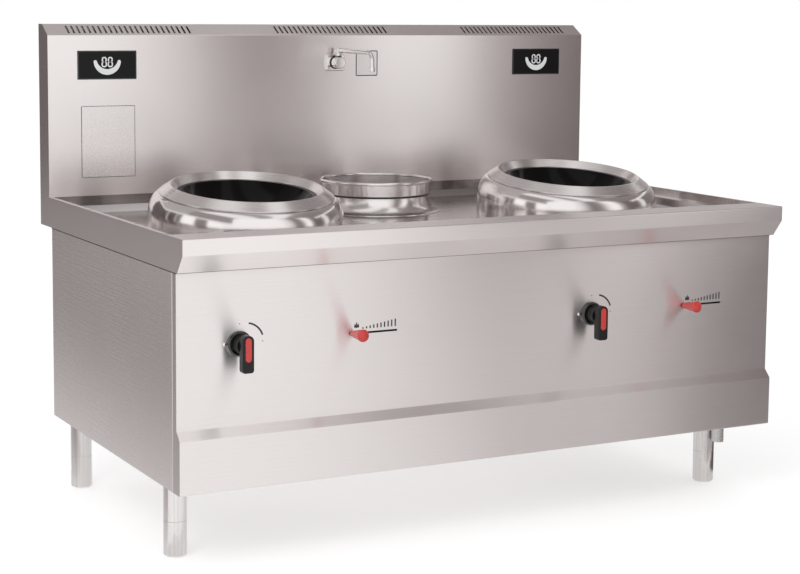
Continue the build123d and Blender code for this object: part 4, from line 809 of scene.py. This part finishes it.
def isolator_handle(side, x):
    """The handle: a turned hub, and a grip whose outline shrinks round its front edge. Its face
    steps down into a round-ended recess, where the red insert lies with a domed edge."""
    slim = HUB_RADIUS - 0.0015
    hub = rounded([(0, 0.0003), (HUB_RADIUS, 0.0003), (HUB_RADIUS, 0.0100), (slim, 0.0115),
                   (slim, HUB), (0, HUB)], [0.001, 0.001, 0.001, 0.0005])
    grip = upright(GRIP_SIDES, GRIP_LOW, GRIP_HIGH, (0.007, 0.014, 0.014, 0.007))
    recess = upright(RECESS_HALF, INSERT_LOW, INSERT_HIGH, 0.0084)
    turn = np.radians(np.linspace(0, 90, 6))
    insets = np.concatenate([[0.002, 0], GRIP_EDGE * (1 - np.cos(turn))])
    levels = HUB + np.concatenate([[0.0003, 0.0022], GRIP - GRIP_EDGE + GRIP_EDGE * np.sin(turn),
                                   [GRIP, GRIP - RECESS]])
    outlines = [grip + inset * inward(grip) for inset in insets] + [recess, recess]
    face = (x, PANEL_FACE - FLANGE, CONTROL_HEIGHT)
    shapes = [turned(hub, face, OUT, around=96), lofted(outlines, levels, origin=face)]
    piece(f"isolator_grip_{side}", shapes, handle_black, body=f"isolator_{side}_unit",
          replaces=[f"isolator_handle_{side}"])
    insert = recess + 0.0003 * inward(recess)
    top = slab(insert, HUB + GRIP - RECESS, HUB + GRIP + 0.0008, 0.0012, origin=face)
    piece(f"isolator_insert_{side}", top, signal_red, body=f"isolator_{side}_unit",
          replaces=[f"handle_insert_{side}"])


def stud(x):
    """A stud's dome: a short side and a quarter ellipse, turned about the way out of the panel."""
    radius, side, rise = 0.0045, 0.001, 0.002
    quarter = arc((0, 0), 1, 0, 90, 6) * [radius, rise] + [0, side]
    dome = np.concatenate([[(0, 0), (radius, 0)], quarter])
    return turned(dome, (x, PANEL_FACE, CONTROL_HEIGHT), OUT, around=32)


flanges, studs = [], []
for (side, _), x in zip(SIDES, ISOLATOR_XS):
    flanges += isolator_flange(x)
    studs += [stud(x - STUD_REACH), stud(x + STUD_REACH)]
    isolator_handle(side, x)
piece("isolator_flanges", flanges, gloss_black, replaces=["isolator_switches"])
piece("isolator_studs", studs, chrome, replaces=["isolator_screws"])

# ---------- power levers
LEVER_TILT = math.radians(4)
KNOB_ROOT = 0.004
KNOB_WIDEST = 0.061
KNOB_END = 0.068
KNOB_SLIM = 0.008
KNOB_WIDE = 0.016
FLUTES = 9


def lever_knob(side, x):
    """A power knob turned about its tilted stem: a cone that widens away from the panel, with faint
    grip flutes that fade towards both ends, and a domed end that is a flat sphere's cap."""
    rise = KNOB_END - KNOB_WIDEST
    sphere = (KNOB_WIDE**2 + rise**2) / (2 * rise)
    dome = np.linspace(KNOB_WIDE - 0.0015, 0, 12)
    cap = np.stack([dome, KNOB_END - sphere + np.sqrt(sphere**2 - dome**2)], 1)
    cone = rounded([(0, KNOB_ROOT), (KNOB_SLIM, KNOB_ROOT), (KNOB_WIDE, KNOB_WIDEST), cap[0]],
                   [0.0012, 0.0025], 6)
    ribs = np.linspace(0.010, 0.054, 12)
    wider = (KNOB_WIDE - KNOB_SLIM) * (ribs - KNOB_ROOT) / (KNOB_WIDEST - KNOB_ROOT)
    first_fold = 8  # the cone's points up to the end of its first round fold
    profile = np.concatenate([cone[:first_fold], np.stack([KNOB_SLIM + wider, ribs], 1),
                              cone[first_fold:], cap[1:]])
    fade = np.clip(np.minimum(profile[:, 1] - 0.008, 0.058 - profile[:, 1]) / 0.010, 0, 1)
    stem = (0, -math.cos(LEVER_TILT), math.sin(LEVER_TILT))
    knob = turned(profile, (x, PANEL_FACE, CONTROL_HEIGHT), stem, around=180, flutes=FLUTES,
                  depth=0.10 * fade)
    piece(f"lever_knob_turned_{side}", knob, signal_red, body=f"lever_{side}_unit",
          replaces=[f"lever_knob_{side}"])


for (side, _), x in zip(SIDES, LEVER_XS):
    lever_knob(side, x)

# ---------- printed marks
def flame(x, height, tall):
    """One small flame: across is the angle's sine times the half angle's sine to the power of one
    and a half, and up is the angle's cosine, so it comes to a point at the top."""
    angle = np.linspace(0, TURN, 25)[:-1]
    across = x + 0.0034 * np.sin(angle) * np.sin(angle / 2)**1.5
    outline = np.stack([across, height + tall / 2 * np.cos(angle)], 1)[::-1]
    return lofted([outline, outline], np.array([-MARK_SUNK, MARK_RISE]), origin=(0, PANEL_FACE, 0))


FIRST_BAR = 0.0298  # from the lever's rest
BAR_STEP = 0.01025
BAR_BOTTOM = CONTROL_HEIGHT + 0.010
BAR_HEIGHT = 0.0038
BAR_GROWTH = 0.0017
FLAMES = ((0.0075, 0.0195, 0.012), (0.0120, 0.0215, 0.017), (0.0165, 0.0195, 0.012))


def power_scale(rest):
    """Ten bars over a lever's slot that grow towards full power, and three flames at its start."""
    marks = []
    for k in range(10):
        bar = upright(0.0019, BAR_BOTTOM, BAR_BOTTOM + BAR_HEIGHT + BAR_GROWTH * k, 0.0004, 2)
        place = (rest + FIRST_BAR + BAR_STEP * k, PANEL_FACE, 0)
        marks.append(slab(bar, -MARK_SUNK, MARK_RISE, 0.0001, origin=place))
    return marks + [flame(rest + out, CONTROL_HEIGHT + up, tall) for out, up, tall in FLAMES]


def turn_marks(x):
    """The arc that shows which way the isolator turns, and a dot for each of its two positions."""
    sweep = arc((x + 0.019, CONTROL_HEIGHT + 0.001), 0.0474, 78, 21, 24)
    dots = [np.array([(x + across + way, CONTROL_HEIGHT + up) for way in (-0.0002, 0.0002)])
            for across, up in ((0.003, 0.048), (0.064, 0.001))]
    return [stroke(sweep, 0.0022, PANEL_FACE)] + [stroke(dot, 0.0013, PANEL_FACE) for dot in dots]


marks = [power_scale(x) for x in LEVER_XS] + [turn_marks(x) for x in ISOLATOR_XS]
piece("control_marks", sum(marks, []), ink_black)

# ---------- splashback fittings
DISPLAY_X = 0.725
DISPLAY_Z = SPLASH_TOP - 0.116
DISPLAY_FACE = SPLASH_FACE - 0.002
DISPLAY_HALF = (0.0865, 0.0395)
GAUGE_RADIUS = 0.041
GAUGE_RISE = 0.013
LABEL_X = -0.7225
LABEL_BOTTOM = 0.887
LABEL_TOP = 1.092
LABEL_HALF = 0.080
STICKER_X = 0.1105
STICKER_Z = SPLASH_TOP - 0.117
STICKER_HALF = (0.0360, 0.0375)


def display_figures(x):
    """Two figures eight, each of two rounded rings, over a thick level gauge: an arc of nearly half a
    circle whose half width swells from its ends to its middle by the sine of its run."""
    shapes = []
    for shift in (-0.0090, 0.0090):
        for low, high, half in ((-0.0045, 0.0090, 0.0062), (0.0090, 0.0215, 0.0056)):
            eye = upright(half, DISPLAY_Z + low, DISPLAY_Z + high, 0.0052, 6) + [x + shift, 0]
            shapes.append(stroke(eye, 0.0019, DISPLAY_FACE, closed=True))
    run = np.linspace(0, 1, 49)
    half = 0.005 + 0.0032 * np.sin(math.pi * run)
    bearing = np.radians(186 + 168 * run)
    reach = GAUGE_RADIUS - half
    gauge = np.stack([x + reach * np.cos(bearing), DISPLAY_Z + GAUGE_RISE + reach * np.sin(bearing)], 1)
    return shapes + [stroke(gauge, half, DISPLAY_FACE)]


def display_frame(x):
    """A slim bezel round a display: a closed raised line along the window's edge."""
    across, up = DISPLAY_HALF
    edge = upright(across, DISPLAY_Z - up, DISPLAY_Z + up, 0.004) + [x, 0]
    return stroke(edge, 0.0015, DISPLAY_FACE, rise=0.0008, closed=True)


display_xs = [sign * DISPLAY_X for _, sign in SIDES]
piece("display_figures", sum([display_figures(x) for x in display_xs], []), digit_white)
piece("display_bezels", [display_frame(x) for x in display_xs], gloss_black)

label_edge = upright(LABEL_HALF, LABEL_BOTTOM + 0.0005, LABEL_TOP - 0.0005, 0.002) + [LABEL_X, 0]
across, up = STICKER_HALF
sticker_edge = upright(across, STICKER_Z - up, STICKER_Z + up, 0.003) + [STICKER_X, 0]
piece("label_outline", stroke(label_edge, 0.0007, SPLASH_FACE - 0.0008, closed=True), ink_black)
piece("sticker_outline", stroke(sticker_edge, 0.0014, SPLASH_FACE - 0.0006, closed=True), ink_black)

# ---------- camera, light and floor
CAMERA_PLACE = (-2.47117, -4.54467, 1.39367)
CAMERA_YAW = 0.488308
CAMERA_PITCH = 0.111561
CAMERA_ROLL = 0.0088693
CAMERA_LENS = 82.41
CAMERA_SHIFT = (0.0118, -0.0990)


def photograph_camera():
    """The camera at the photograph's angle: its three axes come from the yaw, pitch and roll."""
    yaw, pitch, roll = CAMERA_YAW, CAMERA_PITCH, CAMERA_ROLL
    level = math.cos(pitch)
    ahead = np.array([math.sin(yaw) * level, math.cos(yaw) * level, -math.sin(pitch)])
    right = np.array([math.cos(yaw), -math.sin(yaw), 0])
    up = np.cross(right, ahead)
    across = math.cos(roll) * right + math.sin(roll) * up
    above = -math.sin(roll) * right + math.cos(roll) * up
    data = bpy.data.cameras.new("camera")
    data.lens = CAMERA_LENS
    data.sensor_width = 36
    data.shift_x, data.shift_y = CAMERA_SHIFT
    data.clip_end = 60
    camera = bpy.data.objects.new("camera", data)
    placed = np.column_stack([across, above, -ahead, CAMERA_PLACE])
    camera.matrix_world = Matrix([*placed.tolist(), (0, 0, 0, 1)])
    bpy.context.collection.objects.link(camera)
    bpy.context.scene.camera = camera


FLOOR_LIFT = 0.44
FILL_LIGHT = 0.75


def lamp(name, place, aim, size, watts):
    """A soft rectangular lamp at a place, turned to face its aim, that gloss doesn't show."""
    data = bpy.data.lights.new(name, "AREA")
    data.shape = "RECTANGLE"
    data.size, data.size_y = size
    data.energy = watts
    made = bpy.data.objects.new(name, data)
    way = Vector(aim) - Vector(place)
    made.matrix_world = Matrix.Translation(place) @ way.to_track_quat("-Z", "Y").to_matrix().to_4x4()
    made.visible_glossy = False
    bpy.context.collection.objects.link(made)


def seeing_rays(add):
    """One where a ray comes from the camera, off gloss or through glass, and nought elsewhere."""
    path = add("LightPath").outputs
    either = worked(add, "MAXIMUM", path["Is Camera Ray"], path["Is Glossy Ray"])
    return worked(add, "MAXIMUM", either, path["Is Transmission Ray"])


def surroundings():
    """A plain pale floor and world. Rays from the camera, off gloss and through glass see white."""
    bpy.ops.mesh.primitive_plane_add(size=60, location=(0, 0, -0.0005))
    floor = bpy.context.object
    floor.name = "floor"
    material, shader, add = grown("floor_white")
    feed(shader, {"Base Color": (0.80, 0.80, 0.80, 1), "Roughness": 0.95, "Specular IOR Level": 0.0,
                  "Emission Color": (1, 1, 1, 1),
                  "Emission Strength": worked(add, "MULTIPLY", seeing_rays(add), FLOOR_LIFT)})
    floor.data.materials.append(material)
    world = bpy.data.worlds.new("studio")
    bpy.context.scene.world = world
    world.use_nodes = True
    world.node_tree.nodes.clear()
    add = adder(world.node_tree)
    seen, fill = (add("Background", {"Color": (1, 1, 1, 1), "Strength": strength}).outputs[0]
                  for strength in (1.0, FILL_LIGHT))
    mix = add("MixShader", {0: seeing_rays(add), 1: fill, 2: seen})
    add("OutputWorld", {"Surface": mix.outputs[0]})


def card(name, corners, stops, spot=None, strength=1.0):
    """A studio card that only gloss sees: four corners, and grey tones at stops along its length.

    The tone runs with the distance along the first side, from nought to one. With a spot, it runs
    with the bearing of a point of the card from that spot instead, in degrees over ninety."""
    mesh = bpy.data.meshes.new(name)
    mesh.from_pydata(corners, [], [(0, 1, 2, 3)])
    made = bpy.data.objects.new(name, mesh)
    bpy.context.collection.objects.link(made)
    material, shader, add = grown(name + "_tone")
    place = add("SeparateXYZ", {0: add("TexCoord").outputs["Object"]}).outputs
    if spot:
        across = worked(add, "SUBTRACT", place[0], spot[0])
        back = worked(add, "SUBTRACT", spot[1], place[1])
        run = worked(add, "MULTIPLY", worked(add, "ARCTAN2", across, back), 2 / math.pi)
    else:
        start, end = np.array(corners[:2], float)
        axis = int(np.argmax(np.abs(end - start)))
        run = ranged(add, place[axis], start[axis], end[axis], 0.0, 1.0)
    ramp = add("ValToRGB", {0: run})
    elements = ramp.color_ramp.elements
    while len(elements) < len(stops):
        elements.new(0.5)
    for element, (where, tone) in zip(elements, stops):
        element.position = where
        element.color = (tone, tone**1.08, tone**1.09, 1)
    feed(shader, {"Base Color": (0, 0, 0, 1), "Specular IOR Level": 0.0, "Roughness": 1.0,
                  "Emission Color": ramp.outputs[0], "Emission Strength": strength})
    mesh.materials.append(material)
    for kind in ("camera", "diffuse", "shadow", "transmission", "volume_scatter"):
        setattr(made, "visible_" + kind, False)


def level_card(name, start, end, height, *tones):
    """A level card from one corner to the opposite one, whose first side runs along X."""
    corners = [(start[0], start[1]), (end[0], start[1]), (end[0], end[1]), (start[0], end[1])]
    card(name, [(x, y, height) for x, y in corners], *tones)


def upright_card(name, start, end, low, high, *tones):
    """An upright card over the line from one place on the floor to another."""
    corners = [(*start, low), (*end, low), (*end, high), (*start, high)]
    card(name, corners, *tones)


photograph_camera()
surroundings()
ON_FLOOR = 0.004
CEILING = 5.0
WALL_TOP = 4.5
PANEL_MIRROR = (-2.47, 3.553)
SPLASH_MIRROR = (-2.47, 5.507)
PANEL_GLOW = 1.08
SPLASH_GLOW = 1.12
LEFT_GLOW = 1.2
PANEL_TONES = [(0.10, 1.0), (0.237, 1.0), (0.279, 0.96), (0.297, 0.93), (0.319, 0.86), (0.338, 0.76),
               (0.355, 0.60), (0.385, 0.60), (0.404, 0.58), (0.416, 0.28), (0.428, 0.08), (0.445, 0.04),
               (0.8, 0.08)]
KICK_TONES = PANEL_TONES[:9] + [(0.416, 0.46), (0.430, 0.42), (0.8, 0.40)]
WALL_TONES = PANEL_TONES[:5] + [(0.338, 0.80), (0.355, 0.72), (0.385, 0.66), (0.400, 0.56),
                                (0.410, 0.24), (0.420, 0.05), (0.8, 0.04)]
SPLASH_TONES = [(0.10, 1.0), (0.195, 1.0), (0.210, 1.0), (0.228, 0.84), (0.243, 0.58), (0.252, 0.32),
                (0.262, 0.22), (0.275, 0.27), (0.284, 0.40), (0.294, 0.72), (0.308, 1.0), (0.332, 1.0),
                (0.342, 0.58), (0.352, 0.40), (0.364, 0.29), (0.374, 0.18), (0.40, 0.15), (0.8, 0.15)]
level_card("kick_floor_card", (-3, -0.56), (9, -1.9), ON_FLOOR, KICK_TONES, PANEL_MIRROR, PANEL_GLOW)
level_card("near_floor_card", (-3, -1.9), (9, -3.2), ON_FLOOR, PANEL_TONES, PANEL_MIRROR, PANEL_GLOW)
level_card("front_floor_card", (-3, -3.2), (9, -9), ON_FLOOR, PANEL_TONES, PANEL_MIRROR, PANEL_GLOW)
upright_card("front_wall_card", (-9, -6.2), (9, -6.2), 0, WALL_TOP, WALL_TONES, PANEL_MIRROR, PANEL_GLOW)
upright_card("splash_card", (-1.6, -1.45), (5, -1.45), 0.85, 2.6, SPLASH_TONES, SPLASH_MIRROR, SPLASH_GLOW)
level_card("left_floor_card", (-0.95, -0.3), (-8, 9), ON_FLOOR,
           [(0.0, 0.78), (0.05, 0.58), (0.10, 0.38), (0.14, 0.17), (0.18, 0.20), (0.21, 0.58),
            (0.25, 0.70), (0.28, 0.44), (0.31, 0.66), (0.5, 0.7), (1.0, 0.7)])
upright_card("back_card", (-9, 7), (9, 7), 0, WALL_TOP,
             [(0.0, 0.12), (0.40, 0.15), (0.50, 0.35), (0.62, 0.62), (0.67, 1.0), (0.80, 1.0),
              (0.84, 0.6), (1.0, 0.5)])
level_card("ceiling_card", (-7, -7), (7, 1), CEILING,
           [(0.0, 0.3), (0.30, 0.35), (0.34, 1.0), (0.44, 1.0), (0.48, 0.4), (0.53, 0.5), (0.55, 1.0),
            (0.61, 1.0), (0.635, 0.40), (0.72, 0.28), (1.0, 0.25)])
level_card("ceiling_back_card", (-7, 1), (7, 7), CEILING,
           [(0.0, 0.5), (0.60, 0.47), (0.66, 0.40), (0.75, 0.32), (1.0, 0.3)])
upright_card("left_wall_card", (-7.5, -7), (-7.5, 7), 0, WALL_TOP,
             [(0.0, 0.8), (0.09, 1.0), (0.28, 1.0), (0.31, 0.22), (0.43, 0.22), (0.46, 1.0), (0.60, 1.0),
              (0.63, 0.2), (0.68, 0.2), (0.70, 0.5), (0.72, 0.1), (0.84, 0.08), (0.87, 0.6), (0.90, 0.1),
              (1.0, 0.08)], None, LEFT_GLOW)
upright_card("right_wall_card", (7.5, -7), (7.5, 7), 0, WALL_TOP,
             [(0.0, 0.05), (0.18, 0.08), (0.20, 1.0), (0.31, 1.0), (0.33, 0.25), (0.38, 0.3), (0.42, 0.9),
              (0.47, 0.9), (0.50, 0.2), (0.7, 0.25), (1.0, 0.5)])
level_card("under_floor_card", (-0.95, -0.5), (0.95, 0.6), ON_FLOOR + 0.001, [(0.0, 0.85), (1.0, 0.75)])
level_card("right_floor_card", (0.95, -0.5), (9, 9), ON_FLOOR,
           [(0.0, 0.12), (0.12, 0.15), (0.25, 0.45), (0.35, 0.8), (0.5, 0.4), (1.0, 0.4)])
lamp("lamp_key", (-3.5, -3.0, 3.6), (0, 0, 0.7), (2.5, 2.0), 60)
bpy.context.scene.view_settings.view_transform = "Standard"
